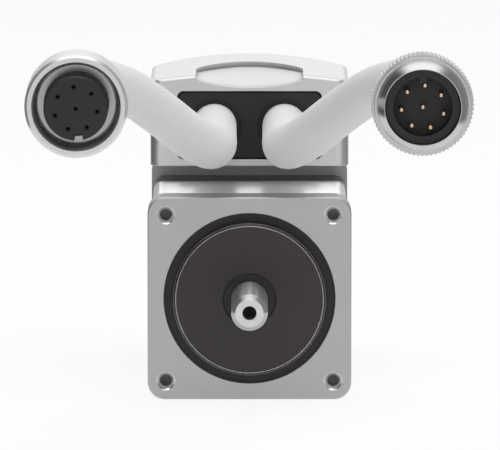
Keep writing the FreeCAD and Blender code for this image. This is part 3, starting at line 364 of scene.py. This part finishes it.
# Each slot of the record with the finish that its nodes get
# Grain and tool marks are drawn coarser than real ones so that they show, and wire and sheets in true size
FINISHES: dict[str, Finish] = {
    # Die-cast aluminium, bead blasted after machining: an even satin grey with a faint sparkle
    # The ring groove round the centring disc has painted shade, near black, and the bolt holes are bright at
    # their countersinks
    "machined_aluminium": Finish(
        "blasted_aluminium", colour="#c4c2c3", shade="#b2b1b1", metallic=1.0, roughness=(0.40, 0.50),
        grain=0.25, edge_colour="#d6d6d6", edge_clear=11.9,
        # Painted shade: the ring groove round the centring disc is coloured near black
        zones=(Zone(radius=11.78, colour="#272425", metallic=0.0, roughness=0.5),
               Zone(radius=1.26, colour="#f4f4f4", metallic=1.0, roughness=0.16, square=BOLT_SQUARE),
               Zone(radius=1.03, colour="#c8c6c7", metallic=0.0, roughness=0.5, square=BOLT_SQUARE))),
    # Steel disc under black oxide, with its two turned edges worn bright
    "dark_pilot": Finish(
        "black_oxide_steel", colour="#342d2f", shade="#2d2729", metallic=0.0, roughness=(0.42, 0.52),
        pattern=Pattern.TURNED, grain=0.3, relief=0.002, edge=0.13, edge_colour="#f4f4f4", edge_clear=9.0),
    # Nitrile rubber, moulded: dull and nearly black
    "seal_rubber": Finish(
        "nitrile_rubber", colour="#2c2627", shade="#242021", metallic=0.0, roughness=(0.55, 0.7),
        grain=0.15),
    # Bearing steel, centreless ground: satin with fine rings round it, a painted highlight that makes its end
    # face paler, and painted shade that makes its centre hole a dull grey
    "ground_steel": Finish(
        "ground_steel", colour="#c4c4c4", shade="#b6b6b6", metallic=1.0, roughness=(0.34, 0.38),
        pattern=Pattern.GROUND, grain=0.14, relief=0.0008, brushed=0.9,
        # Painted highlight: the end face is paler than the rest of the shaft
        zones=(Zone(radius=1.96, colour="#d8d9d9", metallic=1.0, roughness=0.3),
               # Painted shade: the centre hole is a dull, non-metallic grey
               Zone(radius=0.96, colour="#8c908e", metallic=0.0, roughness=0.4))),
    # Bearing steel, lapped: mirror bright
    "bearing_steel": Finish(
        "lapped_steel", colour="#dcdce0", shade="#cfcfd4", metallic=1.0, roughness=(0.08, 0.14),
        pattern=Pattern.TURNED, grain=0.2, relief=0.0005),
    # Brass, machined: warm yellow with turning marks
    "cage_brass": Finish(
        "machined_brass", colour="#d2ac5c", shade="#bf9648", metallic=1.0, roughness=(0.22, 0.32),
        pattern=Pattern.TURNED, grain=0.2, relief=0.001),
    # Spring steel, rolled: bright grey
    "spring_steel": Finish(
        "rolled_spring_steel", colour="#b9b9bd", shade="#a8a8ac", metallic=1.0, roughness=(0.24, 0.34),
        pattern=Pattern.TURNED, grain=0.25, relief=0.001),
    # Silicon steel sheets, punched and stacked: fine stripes at every half millimetre
    "lamination_steel": Finish(
        "stacked_silicon_steel", colour="#a4a6ab", shade="#74767b", metallic=1.0, roughness=(0.34, 0.48),
        pattern=Pattern.SHEETS, grain=0.5, relief=0.02),
    # Sintered magnet, nickel plated: dull and faintly pitted
    "magnet": Finish(
        "nickel_plated_magnet", colour="#9a9a9e", shade="#8a8a8f", metallic=1.0, roughness=(0.3, 0.42),
        grain=0.2),
    # Nylon, moulded: creamy and half gloss
    "insulator_plastic": Finish(
        "moulded_nylon", colour="#e9e5d8", shade="#dfdacb", metallic=0.0, roughness=(0.38, 0.5),
        grain=0.3),
    # Copper wire under varnish, wound in neat layers: brown ridges with a thin gloss
    "copper_wire": Finish(
        "enamelled_copper_wire", colour="#d07f4a", shade="#7d4325", metallic=1.0, roughness=(0.22, 0.36),
        pattern=Pattern.WOUND, grain=0.28, relief=0.06, coat=0.4),
    # Silicon steel sheets, punched, stacked and ground on the outside: nearly white, with soft reflections
    "polished_case": Finish(
        "ground_silicon_steel", colour="#f6f6f6", shade="#f0f0f0", metallic=0.65, roughness=(0.18, 0.24),
        grain=0.3, relief=0.001, cloud=9.0, cloud_share=0.2),
    # Cast aluminium under black enamel: deep black and glossy
    "bell_black": Finish(
        "black_enamel", colour="#101011", shade="#0b0b0c", metallic=0.0, roughness=(0.2, 0.28),
        grain=0.3, relief=0.002, edge=0.3),
    # Cast aluminium, tumbled: dull grey with a fine orange-peel skin
    "cast_aluminium": Finish(
        "cast_aluminium", colour="#b4b4b6", shade="#9b9b9e", metallic=1.0, roughness=(0.42, 0.55),
        grain=0.35, relief=0.008, edge_colour="#d8d8d8"),
    # Steel screws, zinc plated: grey with a slight shine
    "screw_steel": Finish(
        "zinc_plated_steel", colour="#b7b8ba", shade="#9c9da0", metallic=1.0, roughness=(0.25, 0.4),
        grain=0.2),
    # Glass fibre board under solder mask: deep green and half gloss
    "circuit_board": Finish(
        "solder_mask_board", colour="#1f6b3c", shade="#19592f", metallic=0.0, roughness=(0.25, 0.38),
        grain=0.4, coat=0.3),
    # Epoxy, moulded: charcoal and slightly rough
    "component_black": Finish(
        "moulded_epoxy", colour="#2d2d2f", shade="#242426", metallic=0.0, roughness=(0.45, 0.58),
        grain=0.2),
    # Aluminium, blasted and clear anodised: satin silver, with painted shade darkening its inner corners and
    # seams
    "housing_grey": Finish(
        "anodised_aluminium", colour="#dededf", shade="#cececf", metallic=1.0, roughness=(0.32, 0.42),
        grain=0.22, crease_shade=1.0, crease_shade_colour="#5a5a5a"),
    # Polycarbonate, moulded and painted pale silver: half gloss, with painted shade under the thumb scoop's
    # step and in its other inner corners
    "cover_pale": Finish(
        "painted_polycarbonate", colour="#dadada", shade="#d2d2d2", metallic=0.0, roughness=(0.3, 0.4),
        grain=0.25, crease_shade=1.3, crease_shade_colour="#4a4a4a"),
    # ABS, moulded in a spark-eroded tool: black with a fine even texture
    "panel_black": Finish(
        "black_abs", colour="#202020", shade="#181818", metallic=0.0, roughness=(0.42, 0.54),
        grain=0.22, relief=0.006),
    # Chloroprene rubber, moulded: dull black, for the glands and the seal round the front panel
    "gland_rubber": Finish(
        "chloroprene_rubber", colour="#121212", shade="#0d0d0d", metallic=0.0, roughness=(0.5, 0.65),
        grain=0.2),
    # Polyurethane cable jacket, extruded: matt pale grey
    "cable_jacket": Finish(
        "polyurethane_jacket", colour="#dedede", shade="#d6d6d6", metallic=0.0, roughness=(0.5, 0.62),
        grain=0.18, relief=0.003, sheen=0.25),
    # Polyurethane grip, moulded over the cable's end: matt pale grey
    "grip_plastic": Finish(
        "moulded_polyurethane", colour="#d8d8d8", shade="#cecece", metallic=0.0, roughness=(0.5, 0.6),
        grain=0.2, sheen=0.25),
    # Brass, nickel plated: bright and slightly warm, greyer on the knurled ring
    "nickel_ring": Finish(
        "nickel_plated_brass", colour="#e9e8e7", shade="#dad9d8", metallic=0.75, roughness=(0.24, 0.34),
        pattern=Pattern.GROUND, grain=0.2, relief=0.0008, brushed=0.8, centre=RIGHT_PLUG,
        zones=(Zone(radius=9.0, colour="#cccbca", metallic=1.0, roughness=0.28),)),
    # Brass sleeve, turned and nickel plated: grey and glossy with fine rings
    "shield_metal": Finish(
        "nickel_plated_sleeve", colour="#b2b2b2", shade="#a6a6a6", metallic=1.0, roughness=(0.14, 0.22),
        pattern=Pattern.TURNED, grain=0.2, relief=0.001, centre=LEFT_PLUG),
    # Glass-filled nylon, moulded: black and half matt
    "carrier_black": Finish(
        "glass_filled_nylon", colour="#211d1e", shade="#1b1718", metallic=0.0, roughness=(0.42, 0.54),
        grain=0.2),
    # Brass contacts, gold plated: pale, warm and bright on the pins, and painted dark inside the sockets as
    # painted shade
    "contact_gold": Finish(
        "gold_plated_brass", colour="#ecd6c4", shade="#e0bfa6", metallic=1.0, roughness=(0.2, 0.3),
        grain=0.15, edge=0.03, centre=LEFT_PLUG,
        # Painted shade: the contacts and lips inside the left connector's sockets are coloured nearly black
        zones=(Zone(radius=8.0, colour="#1c1815", metallic=0.3, roughness=0.5),)),
}


class Workshop:
    """Keeps the finishes made so far and gives them to pieces."""

    def __init__(self) -> None:
        """Start with no material made."""
        self.made: dict[str, bpy.types.Material] = {}

    def paint(self, slot: str) -> bpy.types.Material:
        """Find the material of a slot, and make it the first time.

        Args:
            slot: material slot of the record.

        Returns:
            The slot's material.
        """
        if slot not in self.made:
            self.made[slot] = FINISHES[slot].material()
        return self.made[slot]

    def dress_solids(self) -> None:
        """Give every solid of the frame the finish of its slot."""
        for row in frame["record"]["subparts"]:
            solid = frame["nodes"][row["node"]]
            solid.data.materials.clear()
            solid.data.materials.append(self.paint(row["material_slot"]))
            LOG.info("dressed %s as %s", row["node"], row["material_slot"])

    def piece(self, name: str, mesh: bmesh.types.BMesh, body: str, slot: str) -> bpy.types.Object:
        """Turn a bmesh into a dressed piece that moves with a body.

        Args:
            name: name of the piece.
            mesh: finished bmesh, freed here.
            body: body that carries the piece.
            slot: material slot of the record.

        Returns:
            The new object.
        """
        data = bpy.data.meshes.new(name)
        mesh.to_mesh(data)
        mesh.free()
        item = bpy.data.objects.new(name, data)
        bpy.context.scene.collection.objects.link(item)
        data.materials.append(self.paint(slot))
        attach(item, body)
        LOG.info("made %s on %s", name, body)
        return item


def turn_ring(mesh: bmesh.types.BMesh, centre: tuple[float, float], profile: list[tuple[float, float]],
              steps: int) -> None:
    """Turn a closed outline of radius and depth once round an axis along Y.

    Args:
        mesh: bmesh that gets the ring.
        centre: place of the axis in X and Z, in millimetres.
        profile: corners of the outline, in millimetres.
        steps: steps of the turn.
    """
    x, z = centre
    corners = [mesh.verts.new(Vector((x + radius, y, z)) * MM) for radius, y in profile]
    edges = [mesh.edges.new(pair) for pair in zip(corners, corners[1:] + corners[:1])]
    bmesh.ops.spin(mesh, geom=corners + edges, cent=Vector((x, 0.0, z)) * MM, axis=(0.0, 1.0, 0.0),
                   angle=2 * math.pi, steps=steps, use_merge=True)


@dataclass
class InnerThread:
    """Inside thread, wound as one ridge along the wall of a round hole along Y.

    Foot is half the ridge's width at the wall as a share of the pitch, and crest its width at the top as a
    share of that at the wall.
    """

    name: str
    body: str
    slot: str
    centre: tuple[float, float]
    radius: float
    pitch: float
    depth: float
    start: float
    length: float
    steps: int = 28
    sunk: float = 0.02
    foot: float = 0.45
    crest: float = 0.2

    def wind(self, mesh: bmesh.types.BMesh) -> None:
        """Wind the ridge into a bmesh.

        Args:
            mesh: bmesh that gets the ridge.
        """
        x, z = self.centre
        wall = self.radius + self.sunk
        top = self.radius - self.depth
        half = self.pitch * self.foot
        profile = [(wall, -half), (top, -half * self.crest), (top, half * self.crest), (wall, half)]
        corners = [mesh.verts.new(Vector((x + r, self.start + y, z)) * MM) for r, y in profile]
        edges = [mesh.edges.new(pair) for pair in zip(corners, corners[1:] + corners[:1])]
        turns = self.length / self.pitch
        count = int(turns * self.steps)
        bmesh.ops.spin(mesh, geom=corners + edges, cent=Vector((x, 0, z)) * MM, axis=(0, 1, 0),
                       dvec=(0, self.length * MM / count, 0), angle=2 * math.pi * turns, steps=count)

    def build(self, shop: Workshop) -> bpy.types.Object:
        """Make the thread as a piece of its own.

        Args:
            shop: workshop that dresses it.

        Returns:
            The new object.
        """
        mesh = bmesh.new()
        self.wind(mesh)
        bmesh.ops.recalc_face_normals(mesh, faces=mesh.faces)
        return shop.piece(self.name, mesh, self.body, self.slot)


@dataclass
class Lead:
    """One of the two cables, from inside the panel to the back of its connector."""

    side: str
    sign: int
    carried: list[bpy.types.Object]
    diameter: float = 6.2
    length: float = 71.0
    round_steps: int = 10
    run_steps: int = 20
    order: int = 3
    route: list[tuple[float, float, float]] = field(default_factory=lambda: [
        (4.9, 27.0, 21.2),
        (4.9, 12.0, 21.2),
        (4.75, -1.0, 20.7),
        (7.8, -9.5, 23.2),
        (12.1, -15.0, 27.4),
        (17.2, -20.0, 31.6),
        (22.55, -28.0, 33.4),
        (22.55, -36.0, 33.4),
    ])

    def build(self, shop: Workshop) -> bpy.types.Object:
        """Lay the cable along its route as one smooth spline.

        Args:
            shop: workshop that dresses it.

        Returns:
            The new curve object.
        """
        name = f"{self.side}_lead"
        curve = bpy.data.curves.new(name, "CURVE")
        curve.dimensions = "3D"
        curve.bevel_depth = self.diameter / 2 * MM
        curve.bevel_resolution = self.round_steps
        curve.use_fill_caps = True
        curve.resolution_u = self.run_steps
        spline = curve.splines.new("NURBS")
        spline.points.add(len(self.route) - 1)
        for point, (x, y, z) in zip(spline.points, self.route):
            point.co = (self.sign * x * MM, y * MM, z * MM, 1.0)
        spline.order_u = self.order
        spline.use_endpoint_u = True
        item = bpy.data.objects.new(name, curve)
        bpy.context.scene.collection.objects.link(item)
        curve.materials.append(shop.paint("cable_jacket"))
        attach(item, "motor")
        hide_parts(f"{self.side}_cable")
        x, y, z = self.route[0]
        LOG.info("laid %s", name)
        return item


@dataclass
class Flange:
    """Front flange: the threads in its four bolt holes."""

    hole_radius: float = 1.025
    hole_depth: float = 2.8
    pitch: float = 0.45
    thread_depth: float = 0.2
    thread_start: float = 0.5
    bare_depth: float = 0.9

    def build(self, shop: Workshop) -> None:
        """Cut a thread into each bolt hole.

        Args:
            shop: workshop that dresses the threads.
        """
        length = self.hole_depth - self.bare_depth
        for side, across in (("left", -1), ("right", 1)):
            for level, up in (("low", -1), ("high", 1)):
                centre = (across * BOLT_SQUARE / 2, up * BOLT_SQUARE / 2)
                InnerThread(f"bolt_thread_{side}_{level}", body="motor", slot="machined_aluminium",
                            centre=centre, radius=self.hole_radius, pitch=self.pitch,
                            depth=self.thread_depth, start=self.thread_start, length=length).build(shop)


@dataclass
class SheetStack:
    """Stator's outside behind the flange: a stack of steel sheets with rounded edges."""

    side: float = 26.8
    corner: float = 1.5
    front: float = 4.8
    back: float = 24.3
    sheets: int = 35
    groove: float = 0.2
    steps: int = 6
    corner_steps: int = 8

    def inset(self, step: int) -> float:
        """Depth of the outline below the sheets' edges, in millimetres, at a step along the stack."""
        return self.groove * (1 - abs(math.sin(math.pi * step / self.steps)))

    def build(self, shop: Workshop) -> bpy.types.Object:
        """Draw the rounded square outline back through the stack, in and out at each sheet.

        Args:
            shop: workshop that dresses it.

        Returns:
            The new object.
        """
        mesh = bmesh.new()
        bmesh.ops.create_grid(mesh, x_segments=1, y_segments=1, size=self.side / 2 * MM)
        bmesh.ops.bevel(mesh, geom=mesh.verts[:], offset=self.corner * MM, segments=self.corner_steps,
                        profile=0.5, affect="VERTICES", material=-1)
        bmesh.ops.rotate(mesh, verts=mesh.verts, matrix=Matrix.Rotation(math.pi / 2, 3, "X"))
        bmesh.ops.translate(mesh, verts=mesh.verts, vec=(0.0, self.front * MM, 0.0))
        count = self.sheets * self.steps
        rise = (self.back - self.front) / count
        ring = mesh.edges[:]
        depth = 0.0
        for step in range(count + 1):
            if step:
                grown = bmesh.ops.extrude_edge_only(mesh, edges=ring)["geom"]
                ring = [item for item in grown if isinstance(item, bmesh.types.BMEdge) and item.is_boundary]
            verts = list({vert for edge in ring for vert in edge.verts})
            wanted = self.inset(step)
            grow = (self.side / 2 - wanted) / (self.side / 2 - depth)
            depth = wanted
            bmesh.ops.scale(mesh, verts=verts, vec=(grow, 1.0, grow))
            if step:
                bmesh.ops.translate(mesh, verts=verts, vec=(0.0, rise * MM, 0.0))
        bmesh.ops.contextual_create(mesh, geom=ring)
        bmesh.ops.recalc_face_normals(mesh, faces=mesh.faces)
        for face in mesh.faces:
            face.smooth = len(face.verts) == 4
        item = shop.piece("sheet_stack", mesh, "motor", "polished_case")
        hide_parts("stator_case")
        return item


@dataclass
class PanelSeal:
    """Black rubber frame in the gap between the front panel and the housing."""

    width: float = 20.16
    bottom: float = 16.52
    top: float = 26.08
    corner: float = 0.9
    gap: float = 0.17
    front: float = 23.85
    depth: float = 0.4
    corner_steps: int = 6

    def build(self, shop: Workshop) -> bpy.types.Object:
        """Draw the panel's outline, keep a narrow rim of it and give that its depth.

        Args:
            shop: workshop that dresses it.

        Returns:
            The new object.
        """
        mesh = bmesh.new()
        bmesh.ops.create_grid(mesh, x_segments=1, y_segments=1, size=1.0)
        bmesh.ops.scale(mesh, verts=mesh.verts,
                        vec=(self.width / 2 * MM, (self.top - self.bottom) / 2 * MM, 1.0))
        bmesh.ops.bevel(mesh, geom=mesh.verts[:], offset=self.corner * MM, segments=self.corner_steps,
                        profile=0.5, affect="VERTICES", material=-1)
        rim = bmesh.ops.inset_region(mesh, faces=mesh.faces[:], thickness=self.gap * MM, use_boundary=True,
                                     use_even_offset=True)["faces"]
        bmesh.ops.delete(mesh, geom=[face for face in mesh.faces if face not in rim], context="FACES")
        bmesh.ops.rotate(mesh, verts=mesh.verts, matrix=Matrix.Rotation(math.pi / 2, 3, "X"))
        middle = (self.top + self.bottom) / 2
        bmesh.ops.translate(mesh, verts=mesh.verts, vec=(0.0, self.front * MM, middle * MM))
        grown = bmesh.ops.extrude_face_region(mesh, geom=mesh.faces[:])["geom"]
        back = [item for item in grown if isinstance(item, bmesh.types.BMVert)]
        bmesh.ops.translate(mesh, verts=back, vec=(0.0, self.depth * MM, 0.0))
        bmesh.ops.recalc_face_normals(mesh, faces=mesh.faces)
        return shop.piece("panel_seal", mesh, "motor", "gland_rubber")


@dataclass
class SocketConnector:
    """Left connector: its nut's thread, its grooved shield sleeve, its sockets' lips and its lead."""

    place: tuple[float, float] = LEFT_PLUG
    bore_radius: float = 5.8
    mouth: float = -61.5
    lead_in: float = 0.9
    pitch: float = 1.0
    thread_depth: float = 0.3
    thread_length: float = 2.7
    thread_steps: int = 64
    sleeve_radius: float = 5.33
    sleeve_bore: float = 4.2
    sleeve_front: float = -57.6
    sleeve_back: float = -56.95
    sleeve_groove: float = 0.25
    sleeve_land: float = 0.09
    sleeve_steps: int = 96
    socket_circle: float = 2.825
    socket_count: int = 7
    socket_first: float = 95.25
    socket_front: float = -63.47
    socket_depth: float = 0.6
    socket_radius: float = 0.34
    socket_bore: float = 0.2
    socket_steps: int = 16
    nodes: list[str] = field(default_factory=lambda: [
        "left_connector_body", "left_coupling_nut", "left_contact_carrier", "left_socket_contacts"])

    def socket_lips(self, shop: Workshop) -> bpy.types.Object:
        """Turn the thin lips of the sockets, one in the middle and the rest on a circle round it.

        Args:
            shop: workshop that dresses them.

        Returns:
            The new object.
        """
        back = self.socket_front + self.socket_depth
        profile = [(self.socket_bore, self.socket_front), (self.socket_radius, self.socket_front),
                   (self.socket_radius, back), (self.socket_bore, back)]
        mesh = bmesh.new()
        turn_ring(mesh, self.place, profile, self.socket_steps)
        for number in range(self.socket_count):
            turn = math.radians(self.socket_first + 360 * number / self.socket_count)
            centre = (self.place[0] + self.socket_circle * math.cos(turn),
                      self.place[1] + self.socket_circle * math.sin(turn))
            turn_ring(mesh, centre, profile, self.socket_steps)
        bmesh.ops.recalc_face_normals(mesh, faces=mesh.faces)
        # The lips take the contacts' finish, which paints them dark as painted shade inside the sockets
        return shop.piece("socket_lips", mesh, "motor", "contact_gold")

    def sleeve(self, shop: Workshop) -> bpy.types.Object:
        """Turn the shield sleeve with a bright land round its edge and a groove inside that.

        Args:
            shop: workshop that dresses it.

        Returns:
            The new object.
        """
        land = self.sleeve_radius - self.sleeve_land
        wall = land - self.sleeve_land
        floor = self.sleeve_front + self.sleeve_groove
        profile = [(self.sleeve_bore, self.sleeve_back), (self.sleeve_radius, self.sleeve_back),
                   (self.sleeve_radius, self.sleeve_front), (land, self.sleeve_front), (land, floor),
                   (wall, floor), (wall, self.sleeve_front), (self.sleeve_bore, self.sleeve_front)]
        mesh = bmesh.new()
        turn_ring(mesh, self.place, profile, self.sleeve_steps)
        bmesh.ops.recalc_face_normals(mesh, faces=mesh.faces)
        item = shop.piece("shield_sleeve", mesh, "motor", "shield_metal")
        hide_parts("left_shield_sleeve")
        return item

    def build(self, shop: Workshop) -> None:
        """Make the nut's thread, the sleeve, the sockets' lips and the lead.

        Args:
            shop: workshop that dresses them.
        """
        InnerThread("nut_thread", body="left_nut", slot="nickel_ring", centre=self.place,
                    radius=self.bore_radius, pitch=self.pitch, depth=self.thread_depth,
                    start=self.mouth + self.lead_in, length=self.thread_length,
                    steps=self.thread_steps).build(shop)
        carried = [frame["nodes"][node] for node in self.nodes]
        Lead("left", -1, carried + [self.sleeve(shop), self.socket_lips(shop)]).build(shop)


@dataclass
class PinConnector:
    """Right connector: its lead."""

    nodes: list[str] = field(default_factory=lambda: [
        "right_connector_body", "right_coupling_ring", "right_contact_carrier", "right_contact_pins"])

    def build(self, shop: Workshop) -> None:
        """Make the lead and hand it the connector's nodes, which it keeps without moving them."""
        Lead("right", 1, [frame["nodes"][node] for node in self.nodes]).build(shop)


@dataclass(frozen=True)
class Lamp:
    """Soft lamp with a square screen: its place and side in millimetres and its power in watts."""

    name: str
    place: tuple[float, float, float]
    side: float
    power: float


@dataclass
class Studio:
    """Camera, floor and soft light.

    The gloss values are how bright metal finds each part of the room, and the ranges say where, along the
    ray's direction, one part fades into the next.
    """

    elevation: float = 7.2
    distance: float = 1200.0
    target: tuple[float, float, float] = (0.07, 0.0, 10.17)
    lens: float = 629.5
    sensor: float = 36.0
    sight: float = 10000.0
    floor_level: float = -14.0
    floor_half: float = 900.0
    floor_share: float = 0.12
    floor_colour: str = "#f4f4f4"
    floor_roughness: float = 0.9
    floor_glow: float = 0.86
    floor_gloss: float = 0.55
    background: float = 1.0
    fill: float = 0.64
    front_dim: float = 0.45
    front_gloss: float = 0.72
    rear_gloss: float = 1.0
    left_gloss: float = 0.08
    right_gloss: float = 0.27
    top_gloss: float = 1.6
    fill_range: tuple[float, float] = (-1.0, -0.2)
    side_range: tuple[float, float] = (-0.6, 0.6)
    rear_range: tuple[float, float] = (0.75, 0.97)
    front_range: tuple[float, float] = (-0.4, -0.8)
    high_range: tuple[float, float] = (0.45, 0.75)
    screen_range: tuple[float, float] = (0.6, 0.3)
    lamps: tuple[Lamp, ...] = (Lamp("right_screen", place=(380.0, -220.0, 480.0), side=350.0, power=1.1),
                               Lamp("top_screen", place=(-50.0, 60.0, 600.0), side=500.0, power=1.6))

    def set_camera(self) -> None:
        """Put the camera where the photograph was taken from."""
        turn = math.radians(self.elevation)
        data = bpy.data.cameras.new("photo_camera")
        data.sensor_width = self.sensor
        data.lens = self.lens
        data.clip_end = self.sight * MM
        camera = bpy.data.objects.new("photo_camera", data)
        away = Vector((0.0, -math.cos(turn), math.sin(turn))) * self.distance
        camera.location = (Vector(self.target) + away) * MM
        camera.rotation_euler = (math.pi / 2 - turn, 0.0, 0.0)
        bpy.context.scene.collection.objects.link(camera)
        bpy.context.scene.camera = camera

    def set_world(self) -> None:
        """Light the object from all round, less from the camera's side.

        Metal shows the white background behind it too, and finds dark side walls and a long bright screen
        overhead.
        """
        world = bpy.data.worlds.new("studio_sky")
        bpy.context.scene.world = world
        world.use_nodes = True
        tree = world.node_tree
        back = tree.nodes["Background"]
        back.inputs["Color"].default_value = (1.0, 1.0, 1.0, 1.0)
        path = add_node(tree, "ShaderNodeLightPath")
        heading = add_node(tree, "ShaderNodeTexCoord")
        axes = add_node(tree, "ShaderNodeSeparateXYZ", links={0: heading.outputs["Generated"]})
        soft = add_node(tree, "ShaderNodeMapRange",
                        {"From Min": self.fill_range[0], "From Max": self.fill_range[1],
                         "To Min": self.fill * self.front_dim, "To Max": self.fill},
                        {"Value": axes.outputs["Y"]})
        room = add_node(tree, "ShaderNodeMapRange",
                        {"From Min": self.side_range[0], "From Max": self.side_range[1],
                         "To Min": self.left_gloss, "To Max": self.right_gloss},
                        {"Value": axes.outputs["X"]}).outputs[0]
        across = add_node(tree, "ShaderNodeMath", {"operation": "ABSOLUTE"}, {0: axes.outputs["X"]})
        fades = []
        for value, ends in ((axes.outputs["Y"], self.rear_range), (axes.outputs["Y"], self.front_range),
                            (axes.outputs["Z"], self.high_range), (across.outputs[0], self.screen_range)):
            settings = {"interpolation_type": "SMOOTHSTEP", "From Min": ends[0], "From Max": ends[1]}
            fades.append(add_node(tree, "ShaderNodeMapRange", settings, {"Value": value}).outputs[0])
        behind, before, high, narrow = fades
        above = add_node(tree, "ShaderNodeMath", {"operation": "MULTIPLY"}, {0: high, 1: narrow}).outputs[0]
        parts = ((behind, self.rear_gloss), (before, self.front_gloss), (above, self.top_gloss))
        for part, brightness in parts:
            room = add_node(tree, "ShaderNodeMix", {3: brightness}, {0: part, 2: room}).outputs[0]
        gloss = add_node(tree, "ShaderNodeMath", {"operation": "MAXIMUM"},
                         {0: path.outputs["Is Glossy Ray"], 1: path.outputs["Is Transmission Ray"]})
        shown = add_node(tree, "ShaderNodeMix", links={0: gloss.outputs[0], 2: soft.outputs[0], 3: room})
        level = add_node(tree, "ShaderNodeMix", {3: self.background},
                         {0: path.outputs["Is Camera Ray"], 2: shown.outputs[0]})
        tree.links.new(level.outputs[0], back.inputs["Strength"])

    def set_floor(self) -> None:
        """Lay a sheet of white paper that keeps a faint shadow and reaches far back."""
        mesh = bmesh.new()
        bmesh.ops.create_grid(mesh, x_segments=1, y_segments=1, size=self.floor_half * MM,
                              matrix=Matrix.Translation(Vector((0.0, 0.0, self.floor_level * MM))))
        bmesh.ops.scale(mesh, verts=mesh.verts, vec=(self.floor_share, 1.0, 1.0))
        data = bpy.data.meshes.new("floor")
        mesh.to_mesh(data)
        mesh.free()
        floor = bpy.data.objects.new("floor", data)
        bpy.context.scene.collection.objects.link(floor)
        paint = bpy.data.materials.new("white_paper")
        paint.use_nodes = True
        tree = paint.node_tree
        sheet = tree.nodes["Principled BSDF"]
        sheet.inputs["Base Color"].default_value = linear(self.floor_colour)
        sheet.inputs["Roughness"].default_value = self.floor_roughness
        glow = add_node(tree, "ShaderNodeEmission", {"Color": (1.0, 1.0, 1.0, 1.0), "Strength": 1.0})
        path = add_node(tree, "ShaderNodeLightPath")
        gloss = add_node(tree, "ShaderNodeMath", {"operation": "MAXIMUM"},
                         {0: path.outputs["Is Glossy Ray"], 1: path.outputs["Is Transmission Ray"]})
        seen = add_node(tree, "ShaderNodeMath", {"operation": "MULTIPLY", 1: self.floor_gloss},
                        {0: gloss.outputs[0]})
        share = add_node(tree, "ShaderNodeMix", {3: self.floor_glow},
                         {0: path.outputs["Is Camera Ray"], 2: seen.outputs[0]})
        mix = add_node(tree, "ShaderNodeMixShader", links={0: share.outputs[0], 1: sheet.outputs[0],
                                                           2: glow.outputs[0]})
        tree.links.new(mix.outputs[0], tree.nodes["Material Output"].inputs["Surface"])
        data.materials.append(paint)

    def hang(self, lamp: Lamp) -> None:
        """Hang one soft lamp that faces the object; metal shows the room's screen in its stead.

        Args:
            lamp: the lamp.
        """
        data = bpy.data.lights.new(lamp.name, "AREA")
        data.shape = "SQUARE"
        data.size = lamp.side * MM
        data.energy = lamp.power
        item = bpy.data.objects.new(lamp.name, data)
        item.location = Vector(lamp.place) * MM
        item.visible_glossy = False
        item.rotation_euler = (Vector(self.target) - Vector(lamp.place)).to_track_quat("-Z", "Y").to_euler()
        bpy.context.scene.collection.objects.link(item)

    def build(self) -> None:
        """Set up camera, floor, sky and lamps."""
        self.set_camera()
        self.set_world()
        self.set_floor()
        for lamp in self.lamps:
            self.hang(lamp)
        bpy.context.scene.view_settings.view_transform = "Standard"


def main() -> None:
    """Dress the solids, add the modelled pieces and set the studio."""
    logging.basicConfig(level=logging.INFO, format="%(name)s: %(message)s")
    shop = Workshop()
    shop.dress_solids()
    Flange().build(shop)
    SheetStack().build(shop)
    PanelSeal().build(shop)
    SocketConnector().build(shop)
    PinConnector().build(shop)
    Studio().build()


if __name__ == "__main__":
    main()
